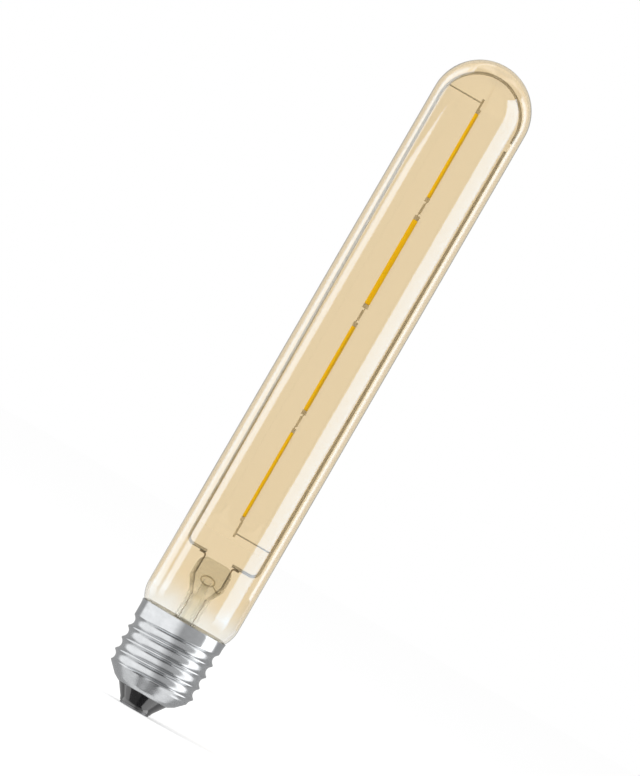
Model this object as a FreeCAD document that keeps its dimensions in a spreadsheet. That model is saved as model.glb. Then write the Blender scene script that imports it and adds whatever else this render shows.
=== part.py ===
import FreeCAD, Part
import math
import os
import Sketcher

# A tubular filament bulb with a screw cap. Millimetres, +Z along the bulb's axis towards the dome.
# The origin is the middle of the contact plate's outer face, so the whole bulb lies above Z = 0.
# The support wires and the flat face of the press lie in the XZ plane, and the blown hole faces -Y.

SHEET = "Sizes"

SIZES = [
    # screw cap
    ("crest_radius", 13.1, "thread crests at the cone"),
    ("collar_growth", 0.05, "plain collar over the thread crests at the cone"),
    ("thread_depth", 1.02, "thread crests to thread roots"),
    ("thread_pitch", 3.629, "coarse right-hand lamp thread"),
    ("crest_land", 0.5, "flat of a crest"),
    ("root_land", 1.25, "flat of a root"),
    ("shell_wall", 0.3, "rolled sheet of the shell"),
    ("cap_top", 28.2, "rim of the collar"),
    ("collar_height", 5.05, "from the rim down to where the groove starts to run out"),
    ("plain_height", 2.4, "straight part of the collar under its flared rim"),
    ("lip_height", 0.8, "flared rim of the collar"),
    ("lip_flare", 0.2, "how far the rim is flared"),
    ("cone_top", 9.5, "where the shell's cone begins"),
    ("cone_knee_inset", 3.5, "where the cone grows flatter, in from the crests"),
    ("cone_knee_height", 6.0, "where the cone grows flatter"),
    ("shell_mouth_inset", 5.15, "lower edge of the shell, in from the crests"),
    ("shell_mouth_height", 5.0, "lower edge of the shell"),
    ("collar_radius", "=crest_radius + collar_growth", "plain collar"),
    ("root_radius", "=crest_radius - thread_depth", "thread roots"),
    ("cone_knee_radius", "=crest_radius - cone_knee_inset", "where the cone grows flatter"),
    ("shell_mouth_radius", "=crest_radius - shell_mouth_inset", "lower edge of the shell"),
    ("cone_slope", "=(crest_radius - cone_knee_radius) / (cone_top - cone_knee_height)", "run over rise"),
    ("thread_end_height", "=cap_top - collar_height", "where the groove starts to run out"),
    ("thread_turns", "=ceil((thread_end_height - cone_knee_height) / thread_pitch)", "turns of the groove"),
    # insulator and contact
    ("contact_radius", 4.55, "contact plate"),
    ("contact_thickness", 0.5, "contact plate"),
    ("contact_round", 0.2, "rounded edge of the contact plate"),
    ("shank_radius", 1.3, "shank of the contact"),
    ("shank_height", 4.2, "upper end of the shank"),
    ("contact_floor", 1.0, "floor of the shank's bore"),
    ("contact_margin", 0.2, "face of the insulator round the contact plate"),
    ("insulator_edge", 0.35, "slant of the insulator's lower edge"),
    ("insulator_foot_height", 1.4, "foot of the black cone"),
    ("seat_radius", "=cone_knee_radius - shell_wall / sqrt(1 + cone_slope^2)",
     "insulator's top in the shell"),
    ("seat_height", "=cone_knee_height + shell_wall * cone_slope / sqrt(1 + cone_slope^2)",
     "insulator's top in the shell"),
    # neck and shoulder of the glass, seated in the collar
    ("shoulder_step", 1.46, "tube's radius over the glass inside the collar's rim"),
    ("glass_wall", 0.8, "wall of the blown envelope"),
    ("shoulder_radius", 10.0, "convex shoulder above the cap"),
    ("neck_clearance", 0.28, "neck to the thread roots inside the shell"),
    ("neck_fillet", 2.0, "concave round between neck and shoulder"),
    ("neck_length", 3.78, "straight neck above the seal"),
    ("rim_clearance", 0.11, "shoulder to the collar's rim"),
    ("cement_drop", 0.48, "cement below the top of the straight neck"),
    ("neck_radius", "=root_radius - shell_wall - neck_clearance", "outside of the neck inside the collar"),
    ("rim_radius", "=collar_radius - shell_wall + lip_flare - rim_clearance", "glass inside the collar's rim"),
    ("tube_radius", "=rim_radius + shoulder_step", "outside of the tube and of its half-round dome"),
    ("shoulder_height", "=cap_top + sqrt(shoulder_radius^2 - (shoulder_radius - shoulder_step)^2)",
     "where the full tube begins"),
    ("fillet_side", "=neck_radius + neck_fillet - tube_radius + shoulder_radius",
     "centre of the shoulder's round to that of the fillet, across"),
    ("fillet_span", "=shoulder_radius + neck_fillet", "the same, along the line between them"),
    ("fillet_height", "=shoulder_height - sqrt(fillet_span^2 - fillet_side^2)", "top of the straight neck"),
    ("cement_bottom", "=fillet_height - cement_drop", "lower face of the cement"),
    ("seal_height", "=fillet_height - neck_length", "where the neck is fused to the flare"),
    # glass stem
    ("lead_radius", 0.25, "lead wires through the press"),
    ("lead_clearance", 0.125, "lead wires to the glass beside them in the stem"),
    ("stem_wall", 1.0, "wall of the stem tube and of its flare"),
    ("exhaust_radius", 1.8, "outside of the exhaust tube"),
    ("exhaust_wall", 0.6, "wall of the exhaust tube"),
    ("exhaust_length", 7.8, "exhaust tube below the seal"),
    ("flare_length", 5.8, "flare from its rim to the stem tube"),
    ("flare_round", 2.5, "round of the flare's throat"),
    ("flare_rim", 1.4, "level rim of the flare, fused to the neck"),
    ("bore_length", 8.8, "stem tube's bore above the flare"),
    ("bore_cap", 0.6, "glass over the closed bore"),
    ("press_shoulder", 3.4, "from the round tube to the flat press"),
    ("press_length", 6.8, "flat press"),
    ("press_width", 10.8, "across the press"),
    ("press_depth", 3.4, "thickness of the press"),
    ("press_end_flat", 0.2, "round of the press's ends, over half its thickness"),
    ("press_corner", 3.0, "round of the two top corners"),
    ("blow_rise", 0.9, "blown hole above the press's lower end"),
    ("blow_mouth", 1.55, "radius of the hole at the press's face"),
    ("blow_throat", 0.7, "radius of the hole at its inner end"),
    ("exhaust_tip", "=seal_height - exhaust_length", "tipped-off lower end"),
    ("stem_radius", "=exhaust_radius + 2 * lead_radius + 2 * lead_clearance + stem_wall",
     "outside of the stem tube"),
    ("flare_top", "=seal_height + flare_length", "where the stem tube starts to flare"),
    ("bore_top", "=flare_top + bore_length", "closed end of the stem tube's bore"),
    ("press_start", "=bore_top + bore_cap", "where the round tube starts to flatten"),
    ("press_full", "=press_start + press_shoulder", "where the press has its full width"),
    ("press_top", "=press_full + press_length", "top of the press"),
    ("press_end_round", "=press_depth / 2 + press_end_flat", "round of the press's two ends"),
    ("blow_height", "=press_full + blow_rise", "middle of the blown hole"),
    # wires
    ("wire_radius", 0.45, "support wires"),
    ("lead_edge", 1.1, "lead wires from the press's two ends"),
    ("lead_spread_rise", 0.8, "end of the spread above the press's lower end"),
    ("lead_kink", 1.5, "bend radius of the spread"),
    ("lead_hook", 0.7, "bend radius of the hook under the support wire and of the turn to the board"),
    ("lead_lap", 1.3, "length welded along the support wire"),
    ("lap_clearance", 0.2, "lead wire's lap to the press's top"),
    ("wall_gap", 1.1, "arched wire to the inside of the glass"),
    ("arch_drop", 1.45, "arch centre below the dome's centre"),
    ("long_bar_reach", 0.1, "inner end of the long wire from the lead wire, outwards"),
    ("short_bar_reach", 0.6, "inner end of the short wire from the lead wire, inwards"),
    ("long_lean", 1.2, "lean of the long wire's straight part"),
    ("short_foot_gap", 0.7, "short wire's foot to the radius of the arch"),
    ("short_top_gap", 0.3, "short wire's top to the radius of the arch"),
    ("long_drop", 18.0, "end of the long wire below the tip of the dome"),
    ("short_drop", 20.6, "end of the short wire below the tip of the dome"),
    ("wire_bend", 2.0, "bend radius of both wires at the foot"),
    ("arm_radius", 0.22, "arms that carry the string's ends"),
    ("lead_spread", "=press_width / 2 - lead_edge", "lead wires from the axis, in the press"),
    ("lead_spread_height", "=press_full + lead_spread_rise", "where the lead wires have spread"),
    ("bar_height", "=press_top + lap_clearance + 2 * lead_radius + wire_radius", "axis of the level bars"),
    ("long_bar_start", "=lead_spread + long_bar_reach", "inner end of the long wire's bar"),
    ("short_bar_start", "=lead_spread - short_bar_reach", "inner end of the short wire's bar"),
    ("arch_radius", "=tube_radius - glass_wall - wall_gap - wire_radius", "long wire over the dome"),
    ("long_corner", "=arch_radius - long_lean", "long wire from the axis at its foot"),
    ("short_corner", "=arch_radius - short_foot_gap", "short wire from the axis at its foot"),
    ("short_top_offset", "=arch_radius - short_top_gap", "short wire from the axis at its top"),
    # filament string, which sets the length of the tube
    ("coat_length", 27.1, "one filament's coat"),
    ("joint_gap", 7.1, "between two coats"),
    ("coat_width", 1.6, "across one coat"),
    ("coat_depth", 0.95, "thickness of one coat"),
    ("coat_round", 0.35, "rounded long edges of the coat"),
    ("strip_width", 1.0, "carrier strip"),
    ("strip_depth", 0.3, "carrier strip"),
    ("clip_length", 1.3, "end clip"),
    ("clip_width", 1.5, "end clip"),
    ("clip_depth", 0.75, "end clip"),
    ("clip_grip", 0.9, "how far the strip enters the clip"),
    ("pin_width", 0.36, "pin of a clip"),
    ("end_pin_width", 0.62, "pins at the two ends of the string"),
    ("pin_depth", 0.26, "pin of a clip"),
    ("pin_clearance", 0.6, "end of a pin to the next clip"),
    ("top_pin_room", 1.9, "top clip to the top arm"),
    ("bottom_pin_room", 3.8, "bottom clip to the bottom arm"),
    ("pin_over", 1.2, "end pins beyond their arms"),
    ("bottom_room", 8.25, "bars to the bottom arm"),
    ("top_room", 12.2, "top arm to the tip of the dome"),
    ("die_count", 12, "dies on one strip"),
    ("die_length", 0.9, "one die along the strip"),
    ("die_width", 0.34, "one die across the strip"),
    ("die_depth", 0.14, "height of a die on the strip"),
    ("bond_width", 0.06, "bond wire from die to die"),
    ("string_shift", -0.33, "string from the tube's axis, to the long wire's side"),
    ("yaw_1", 68, "turn of the first filament about its own axis, degrees"),
    ("yaw_2", 12, "turn of the second filament"),
    ("yaw_3", 60, "turn of the third filament"),
    ("yaw_4", 77, "turn of the fourth filament"),
    ("bottom_arm_height", "=bar_height + bottom_room", "axis of the bottom arm"),
    ("string_bottom", "=bottom_arm_height + bottom_pin_room + clip_length", "lower end of the last coat"),
    ("string_top", "=string_bottom + 4 * coat_length + 3 * joint_gap", "upper end of the first coat"),
    ("top_arm_height", "=string_top + clip_length + top_pin_room", "axis of the top arm"),
    ("overall_length", "=top_arm_height + top_room", "contact face to the tip of the dome"),
    # driver
    ("board_clearance", 1.27, "board to the shell, on the insulator"),
    ("board_gap", 0.3, "board to the exhaust tube"),
    ("board_head", 2.2, "board to the flare above it"),
    ("board_depth", 1.0, "thickness of the board"),
    ("part_clearance", 0.7, "parts on the board's face to the exhaust tube, across"),
    ("rectifier_width", 4.8, "bridge rectifier"),
    ("rectifier_height", 4.0, "bridge rectifier"),
    ("rectifier_depth", 1.6, "bridge rectifier"),
    ("rectifier_rise", 4.0, "bridge rectifier above the board's foot"),
    ("capacitor_radius", 2.9, "smoothing capacitor"),
    ("capacitor_length", 8.6, "smoothing capacitor"),
    ("capacitor_drop", 0.6, "smoothing capacitor below the board's top"),
    ("capacitor_neck", 0.25, "depth of the groove rolled round the can"),
    ("capacitor_pin_spread", 1.0, "pins of the capacitor from its axis"),
    ("chip_width", 4.4, "driver chip"),
    ("chip_height", 2.6, "driver chip"),
    ("chip_depth", 1.5, "driver chip"),
    ("chip_rise", 6.8, "driver chip above the board's foot"),
    ("resistor_width", 3.2, "sense resistor"),
    ("resistor_height", 1.6, "sense resistor"),
    ("resistor_depth", 0.6, "sense resistor"),
    ("resistor_rise", 3.4, "sense resistor above the board's foot"),
    ("fuse_radius", 1.2, "fusible resistor"),
    ("fuse_length", 4.8, "fusible resistor"),
    ("fuse_edge", 0.4, "slanted ends of the fusible resistor"),
    ("fuse_clearance", 0.8, "upper lead of the fusible resistor to the exhaust tube's tip"),
    ("tail_radius", 0.3, "leads of the fusible resistor, the capacitor and the shell"),
    ("tail_bend", 0.6, "bends of those leads"),
    ("board_front", "=exhaust_radius + board_gap", "face of the board from the axis"),
    ("board_back", "=board_front + board_depth", "back of the board from the axis"),
    ("board_top", "=seal_height - stem_wall - board_head", "upper edge of the board"),
    ("board_half", "=sqrt((seat_radius - board_clearance)^2 - board_back^2)", "half the board's width"),
    ("capacitor_low", "=board_top - capacitor_drop - capacitor_length", "lower end of the capacitor's can"),
    ("fuse_lead_height", "=exhaust_tip - fuse_clearance - tail_radius", "level part of the upper lead"),
    ("fuse_top", "=fuse_lead_height - 1.5 * tail_bend", "upper end of the fusible resistor"),
    ("fuse_bottom", "=fuse_top - fuse_length", "lower end of the fusible resistor"),
]

doc = FreeCAD.newDocument("tubular_bulb")
sheet = doc.addObject("Spreadsheet::Sheet", SHEET)
for row, (alias, value, note) in enumerate(SIZES, start=1):
    sheet.set(f"A{row}", alias)
    sheet.set(f"B{row}", str(value))
    sheet.set(f"C{row}", note)
    sheet.setAlias(f"B{row}", alias)
doc.recompute()

ALIASES = [alias for alias, value, note in SIZES]
pieces = []


def bound(text):
    """Turn a formula written with plain size names into one that reads the sheet."""
    words = []
    word = ""
    for letter in text + " ":
        if letter.isalnum() or letter == "_":
            word += letter
            continue
        words.append(f"{SHEET}.{word}" if word in ALIASES else word)
        words.append(letter)
        word = ""
    return "".join(words).strip()


def worth(text):
    """The present value of a formula written with size names."""
    return float(sheet.evalExpression(bound(text)))


def bind(thing, prop, text):
    thing.setExpression(prop, bound(text))


# outlines and paths

def side_of(corners, index):
    """+1 where the path turns left at a corner, -1 where it turns right."""
    before, here, after = [(worth(c[0]), worth(c[1])) for c in corners[index - 1:index + 2]]
    cross = (here[0] - before[0]) * (after[1] - here[1]) - (here[1] - before[1]) * (after[0] - here[0])
    return 1 if cross > 0 else -1


def rounded(corners):
    """Steps of a path through corners (x, y, bend radius), with tangent arcs at its inner corners."""
    steps = [(corners[0][0], corners[0][1])]
    for index in range(1, len(corners) - 1):
        (ax, ay), (cx, cy), (bx, by) = [(c[0], c[1]) for c in corners[index - 1:index + 2]]
        radius = corners[index][2]
        ua, va = f"(({ax}) - ({cx}))", f"(({ay}) - ({cy}))"
        ub, vb = f"(({bx}) - ({cx}))", f"(({by}) - ({cy}))"
        la, lb = f"sqrt({ua}^2 + {va}^2)", f"sqrt({ub}^2 + {vb}^2)"
        cosine = f"(({ua} * {ub} + {va} * {vb}) / ({la} * {lb}))"
        reach = f"(({radius}) * sqrt((1 + {cosine}) / (1 - {cosine})))"
        steps.append((f"({cx}) + {reach} * {ua} / {la}", f"({cy}) + {reach} * {va} / {la}",
                      radius, side_of(corners, index)))
        steps.append((f"({cx}) + {reach} * {ub} / {lb}", f"({cy}) + {reach} * {vb} / {lb}"))
    steps.append((corners[-1][0], corners[-1][1]))
    return steps


def arc_between(start, end, radius, side):
    """A circle arc from start to end, with its centre to the left for side +1."""
    chord = end - start
    rise = math.sqrt(max(radius * radius - chord.Length ** 2 / 4, 0.0))
    normal = FreeCAD.Vector(-chord.y, chord.x, 0).normalize()
    centre = (start + end) * 0.5 + normal * rise * side
    first, last = (start, end) if side > 0 else (end, start)
    low = math.atan2(first.y - centre.y, first.x - centre.x)
    high = math.atan2(last.y - centre.y, last.x - centre.x)
    if high < low:
        high += 2 * math.pi
    return Part.ArcOfCircle(Part.Circle(centre, FreeCAD.Vector(0, 0, 1), radius), low, high)


def draw(sketch, steps, closed=True):
    """Draw lines and arcs through steps (x, y) or (x, y, radius, side), each number a formula.

    A step with a radius starts an arc that ends at the next step.
    """
    points = [FreeCAD.Vector(worth(step[0]), worth(step[1]), 0) for step in steps]
    count = len(steps) if closed else len(steps) - 1
    edges = []
    for index in range(count):
        start, end = points[index], points[(index + 1) % len(points)]
        if len(steps[index]) == 2:
            edge = sketch.addGeometry(Part.LineSegment(start, end))
            edges.append((edge, 1, 2))
            continue
        side = steps[index][3]
        edge = sketch.addGeometry(arc_between(start, end, worth(steps[index][2]), side))
        edges.append((edge, 1, 2) if side > 0 else (edge, 2, 1))
        fix(sketch, Sketcher.Constraint("Radius", edge, worth(steps[index][2])), steps[index][2])
    for index, (edge, first, last) in enumerate(edges):
        fix(sketch, Sketcher.Constraint("DistanceX", edge, first, points[index].x), steps[index][0])
        fix(sketch, Sketcher.Constraint("DistanceY", edge, first, points[index].y), steps[index][1])
        if closed or index + 1 < count:
            after, after_first, _ = edges[(index + 1) % count]
            sketch.addConstraint(Sketcher.Constraint("Coincident", edge, last, after, after_first))
    if not closed:
        edge, _, last = edges[-1]
        fix(sketch, Sketcher.Constraint("DistanceX", edge, last, points[-1].x), steps[-1][0])
        fix(sketch, Sketcher.Constraint("DistanceY", edge, last, points[-1].y), steps[-1][1])
    return sketch


def fix(sketch, constraint, formula):
    index = sketch.addConstraint(constraint)
    bind(sketch, f"Constraints[{index}]", formula)


def draw_circle(sketch, x, y, radius):
    circle = Part.Circle(FreeCAD.Vector(worth(x), worth(y), 0), FreeCAD.Vector(0, 0, 1), worth(radius))
    edge = sketch.addGeometry(circle)
    fix(sketch, Sketcher.Constraint("Radius", edge, worth(radius)), radius)
    fix(sketch, Sketcher.Constraint("DistanceX", edge, 3, worth(x)), x)
    fix(sketch, Sketcher.Constraint("DistanceY", edge, 3, worth(y)), y)
    return sketch


def rectangle(x_low, y_low, x_high, y_high):
    return [(x_low, y_low), (x_high, y_low), (x_high, y_high), (x_low, y_high)]


# features

def new_body(label):
    body = doc.addObject("PartDesign::Body", label)
    body.Label = label
    return body


def new_sketch(body, name, role, lift="0"):
    """A sketch on one of the body's own origin planes, lifted along the plane's normal."""
    sketch = body.newObject("Sketcher::SketchObject", f"{body.Name}_{name}")
    plane = next(item for item in body.Origin.OriginFeatures if item.Role == role)
    sketch.AttachmentSupport = (plane, [""])
    sketch.MapMode = "FlatFace"
    bind(sketch, "AttachmentOffset.Base.z", lift)
    return sketch


def revolve(body, name, steps):
    sketch = draw(new_sketch(body, f"{name}_outline", "XZ_Plane"), steps)
    feature = body.newObject("PartDesign::Revolution", f"{body.Name}_{name}")
    feature.Profile = sketch
    feature.ReferenceAxis = (sketch, ["V_Axis"])
    feature.Angle = 360
    return feature


def pad(body, name, sketch, length, both_sides=False, cut=False):
    kind = "PartDesign::Pocket" if cut else "PartDesign::Pad"
    feature = body.newObject(kind, f"{body.Name}_{name}")
    feature.Profile = sketch
    feature.SideType = "Symmetric" if both_sides else "One side"
    bind(feature, "Length", length)
    return feature


def pipe(body, name, steps, radius, section, path_plane="XZ_Plane", path_lift="0", cut=False):
    """A round wire along a path. section is the plane, its lift and the middle of the wire's start."""
    path = draw(new_sketch(body, f"{name}_path", path_plane, path_lift), steps, closed=False)
    role, lift, x, y = section
    circle = draw_circle(new_sketch(body, f"{name}_section", role, lift), x, y, radius)
    feature = body.newObject("PartDesign::SubtractivePipe" if cut else "PartDesign::AdditivePipe",
                             f"{body.Name}_{name}")
    feature.Profile = circle
    feature.Spine = (path, [f"Edge{index + 1}" for index in range(len(steps) - 1)])
    return feature


def block(label, width, depth, height, x="0", y="0", z="0", yaw="0"):
    """A block centred on its own axis, standing at (x, y, z) and turned about the vertical."""
    body = new_body(label)
    outline = rectangle(f"-({width}) / 2", f"-({depth}) / 2", f"({width}) / 2", f"({depth}) / 2")
    pad(body, "block", draw(new_sketch(body, "outline", "XY_Plane"), outline), height)
    stand(body, x, y, z, yaw)
    return body


def stand(thing, x="0", y="0", z="0", yaw="0"):
    bind(thing, "Placement.Base.x", x)
    bind(thing, "Placement.Base.y", y)
    bind(thing, "Placement.Base.z", z)
    if yaw != "0":
        thing.Placement.Rotation = FreeCAD.Rotation(FreeCAD.Vector(0, 0, 1), worth(yaw))
        bind(thing, "Placement.Rotation.Angle", yaw)


def combine(kind, label, base, tool):
    feature = doc.addObject(f"Part::{kind}", label)
    feature.Base = base
    feature.Tool = tool
    return feature


def keep(thing, label):
    thing.Label = label
    pieces.append(thing)
    return thing


# glass envelope

DOME_CENTRE = "(overall_length - tube_radius)"

def blend(radius):
    """The point where the shoulder, of this radius, runs into the fillet of the neck."""
    share = f"(({radius}) / fillet_span)"
    return (f"tube_radius - shoulder_radius + fillet_side * {share}",
            f"shoulder_height - (shoulder_height - fillet_height) * {share}")


def make_envelope():
    body = new_body("glass_envelope")
    outer_blend = blend("shoulder_radius")
    inner_blend = blend("shoulder_radius - glass_wall")
    revolve(body, "glass", [
        ("neck_radius - glass_wall", "seal_height"),
        ("neck_radius", "seal_height"),
        ("neck_radius", "fillet_height", "neck_fillet", -1),
        outer_blend + ("shoulder_radius", 1),
        ("tube_radius", "shoulder_height"),
        ("tube_radius", DOME_CENTRE, "tube_radius", 1),
        ("0", "overall_length"),
        ("0", "overall_length - glass_wall", "tube_radius - glass_wall", -1),
        ("tube_radius - glass_wall", DOME_CENTRE),
        ("tube_radius - glass_wall", "shoulder_height", "shoulder_radius - glass_wall", -1),
        inner_blend + ("neck_fillet + glass_wall", 1),
        ("neck_radius - glass_wall", "fillet_height"),
    ])
    keep(body, "glass_envelope")


# glass stem with its lead wires

STEM_BORE = "(stem_radius - stem_wall)"
FLARE_RUN = "(neck_radius - flare_rim - stem_radius)"
FLARE_RISE = "(flare_top - seal_height)"
FLARE_SLANT = f"sqrt({FLARE_RUN}^2 + {FLARE_RISE}^2)"
LEAD_IN = f"((exhaust_radius + {STEM_BORE}) / 2)"
LAP_HEIGHT = "(bar_height - wire_radius - lead_radius)"


def lead_steps(side):
    """The route of a lead wire from the board's edge up to its lap under the support wire."""
    return rounded([
        (f"{side} * {LEAD_IN}", "board_top"),
        (f"{side} * {LEAD_IN}", "bore_top", "lead_kink"),
        (f"{side} * lead_spread", "lead_spread_height", "lead_kink"),
        (f"{side} * lead_spread", LAP_HEIGHT, "lead_hook"),
        (f"{side} * (lead_spread + lead_hook + lead_lap)", LAP_HEIGHT),
    ])


def press_section():
    """The press cut across: its round right end, its back, its left end and its front."""
    half = "press_depth / 2"
    flat = f"(press_width / 2 - press_end_round + sqrt(press_end_round^2 - ({half})^2))"
    return [(flat, f"-{half}", "press_end_round", 1), (flat, half),
            (f"-{flat}", half, "press_end_round", 1), (f"-{flat}", f"-{half}")]


def make_stem():
    body = new_body("stem_glass")
    outside = rounded([
        ("neck_radius - flare_rim", "seal_height"),
        ("stem_radius", "flare_top", "flare_round"),
        ("stem_radius", "press_start"),
    ])
    inside = rounded([
        (STEM_BORE, "bore_top"),
        (STEM_BORE, f"flare_top - stem_wall * ({FLARE_SLANT} - {FLARE_RISE}) / {FLARE_RUN}",
         "flare_round + stem_wall"),
        (f"neck_radius - flare_rim - stem_wall * ({FLARE_SLANT} - {FLARE_RUN}) / {FLARE_RISE}",
         "seal_height - stem_wall"),
    ])
    revolve(body, "flare", [("neck_radius", "seal_height - stem_wall"), ("neck_radius", "seal_height")]
            + outside + [("0", "press_start"), ("0", "bore_top")] + inside)
    half = "press_depth / 2"
    corner = "stem_radius * sqrt(0.5)"
    round_end = draw(new_sketch(body, "round_end", "XY_Plane", "press_start"), [
        (corner, f"-({corner})", "stem_radius", 1), (corner, corner, "stem_radius", 1),
        (f"-({corner})", corner, "stem_radius", 1), (f"-({corner})", f"-({corner})", "stem_radius", 1)])
    flat_end = draw(new_sketch(body, "flat_end", "XY_Plane", "press_full"), press_section())
    shoulder = body.newObject("PartDesign::AdditiveLoft", "stem_glass_shoulder")
    shoulder.Profile = round_end
    shoulder.Sections = [(flat_end, [""])]
    upper = draw(new_sketch(body, "press_section", "XY_Plane", "press_full"), press_section())
    pad(body, "press", upper, "press_top - press_full")
    edge = "press_width / 2"
    corners = new_sketch(body, "corners", "XZ_Plane")
    for side, turn in (("1", 1), ("-1", -1)):
        draw(corners, [
            (f"{side} * ({edge})", "press_top - press_corner", "press_corner", turn),
            (f"{side} * ({edge} - press_corner)", "press_top"),
            (f"{side} * ({edge} - press_corner)", "press_top + press_corner"),
            (f"{side} * ({edge} + press_corner)", "press_top + press_corner"),
            (f"{side} * ({edge} + press_corner)", "press_top - press_corner"),
        ])
    pad(body, "corner_rounds", corners, "2 * press_depth", both_sides=True, cut=True)
    channel = draw_circle(new_sketch(body, "channel", "XY_Plane", "blow_height"), "0", "0",
                          "exhaust_radius - exhaust_wall")
    pad(body, "exhaust_channel", channel, "blow_height - bore_top + stem_wall", cut=True)
    crater = new_sketch(body, "crater", "YZ_Plane")
    bind(crater, "AttachmentOffset.Base.y", "blow_height")
    draw(crater, [
        (f"-({half} + stem_wall)", "0"), ("0", "0"), ("0", "blow_throat"),
        (f"-({half})", "blow_mouth"), (f"-({half} + stem_wall)", "blow_mouth"),
    ])
    blown = body.newObject("PartDesign::Groove", "stem_glass_blown_hole")
    blown.Profile = crater
    blown.ReferenceAxis = (crater, ["H_Axis"])
    blown.Angle = 360
    for name, side in (("left_channel", "-1"), ("right_channel", "1")):
        pipe(body, name, lead_steps(side), "lead_radius",
             ("XY_Plane", "board_top", f"{side} * {LEAD_IN}", "0"), cut=True)
    keep(body, "stem_glass")

    tube = new_body("exhaust_tube")
    bore = "(exhaust_radius - exhaust_wall)"
    revolve(tube, "tube", [
        ("0", "exhaust_tip"),
        ("exhaust_wall", "exhaust_tip"),
        ("exhaust_radius", "exhaust_tip + 2 * exhaust_radius"),
        ("exhaust_radius", "bore_top"),
        (bore, "bore_top"),
        (bore, "exhaust_tip + 2 * exhaust_radius + exhaust_wall"),
        ("0", "exhaust_tip + exhaust_radius"),
    ])
    keep(tube, "exhaust_tube")

    for label, side in (("lead_wire_left", "-1"), ("lead_wire_right", "1")):
        wire = new_body(label)
        start = ("XY_Plane", "board_top", f"{side} * {LEAD_IN}", "0")
        pipe(wire, "upper", lead_steps(side), "lead_radius", start)
        pipe(wire, "tail", rounded([
            ("0", "board_top"),
            ("0", "board_top - 2 * lead_hook", "lead_hook"),
            ("board_front", "board_top - 2 * lead_hook"),
        ]), "lead_radius", start, "YZ_Plane", f"{side} * {LEAD_IN}")
        keep(wire, label)


# support wires and arms

ARCH_CENTRE = f"({DOME_CENTRE} - arch_drop)"
ARCH_RISE = f"({ARCH_CENTRE} - bar_height)"


def make_wires():
    lean = (f"(asin(arch_radius / sqrt(long_corner^2 + {ARCH_RISE}^2))"
            f" - atan(long_corner / {ARCH_RISE}))")
    spring = (f"-arch_radius * cos({lean})", f"{ARCH_CENTRE} - arch_radius * sin({lean})")
    foot = rounded([
        ("-long_bar_start", "bar_height"),
        ("-long_corner", "bar_height", "wire_bend"),
        spring,
    ])
    arch = [
        (spring[0], spring[1], "arch_radius", -1),
        ("arch_radius", ARCH_CENTRE),
        ("arch_radius", "overall_length - long_drop"),
    ]
    long_wire = new_body("support_wire_long")
    pipe(long_wire, "wire", foot[:-1] + arch, "wire_radius",
         ("YZ_Plane", "-long_bar_start", "0", "bar_height"))
    keep(long_wire, "support_wire_long")

    short_wire = new_body("support_wire_short")
    pipe(short_wire, "wire", rounded([
        ("short_bar_start", "bar_height"),
        ("short_corner", "bar_height", "wire_bend"),
        ("short_top_offset", "overall_length - short_drop"),
    ]), "wire_radius", ("YZ_Plane", "short_bar_start", "0", "bar_height"))
    keep(short_wire, "support_wire_short")

    top_reach = f"sqrt(arch_radius^2 - (top_arm_height - {ARCH_CENTRE})^2)"
    climb = "(bottom_arm_height - bar_height) / (overall_length - short_drop - bar_height)"
    bottom_reach = f"short_corner + (short_top_offset - short_corner) * {climb}"
    for label, height, start, end, carrier in (
        ("top_arm", "top_arm_height", f"-{top_reach}", "string_shift - end_pin_width", long_wire),
        ("bottom_arm", "bottom_arm_height", "string_shift + end_pin_width", bottom_reach, short_wire),
    ):
        rod = doc.addObject("Part::Cylinder", f"{label}_rod")
        bind(rod, "Radius", "arm_radius")
        bind(rod, "Height", f"({end}) - ({start})")
        rod.Placement.Rotation = FreeCAD.Rotation(FreeCAD.Vector(0, 1, 0), 90)
        bind(rod, "Placement.Base.x", start)
        bind(rod, "Placement.Base.z", height)
        keep(combine("Cut", label, rod, carrier), label)


# filaments

def make_clip(label, yaw, face, direction, pin_side, pin_width, pin_length):
    """An end clip at the coat's end, with a flat pin away from the coat. direction is 1 for an upper clip."""
    low = face if direction > 0 else f"({face}) - clip_length"
    body = block(f"{label}_body", "clip_width", "clip_depth", "clip_length",
                 x="string_shift", z=low, yaw=yaw)
    slot_low = "0" if direction > 0 else "clip_length - clip_grip"
    slot = new_sketch(body, "slot", "XY_Plane", f"{slot_low} + clip_grip")
    draw(slot, rectangle("-strip_width / 2", "-strip_depth / 2", "strip_width / 2", "strip_depth / 2"))
    pad(body, "slot_cut", slot, "clip_grip", cut=True)
    pin = doc.addObject("Part::Box", f"{label}_pin")
    bind(pin, "Length", pin_width)
    bind(pin, "Width", "pin_depth")
    bind(pin, "Height", pin_length)
    bind(pin, "Placement.Base.x", "string_shift" if pin_side > 0 else f"string_shift - {pin_width}")
    bind(pin, "Placement.Base.y", "-pin_depth / 2")
    bind(pin, "Placement.Base.z", f"{low} + clip_length" if direction > 0 else f"{low} - ({pin_length})")
    keep(combine("Fuse", label, body, pin), label)


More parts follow.
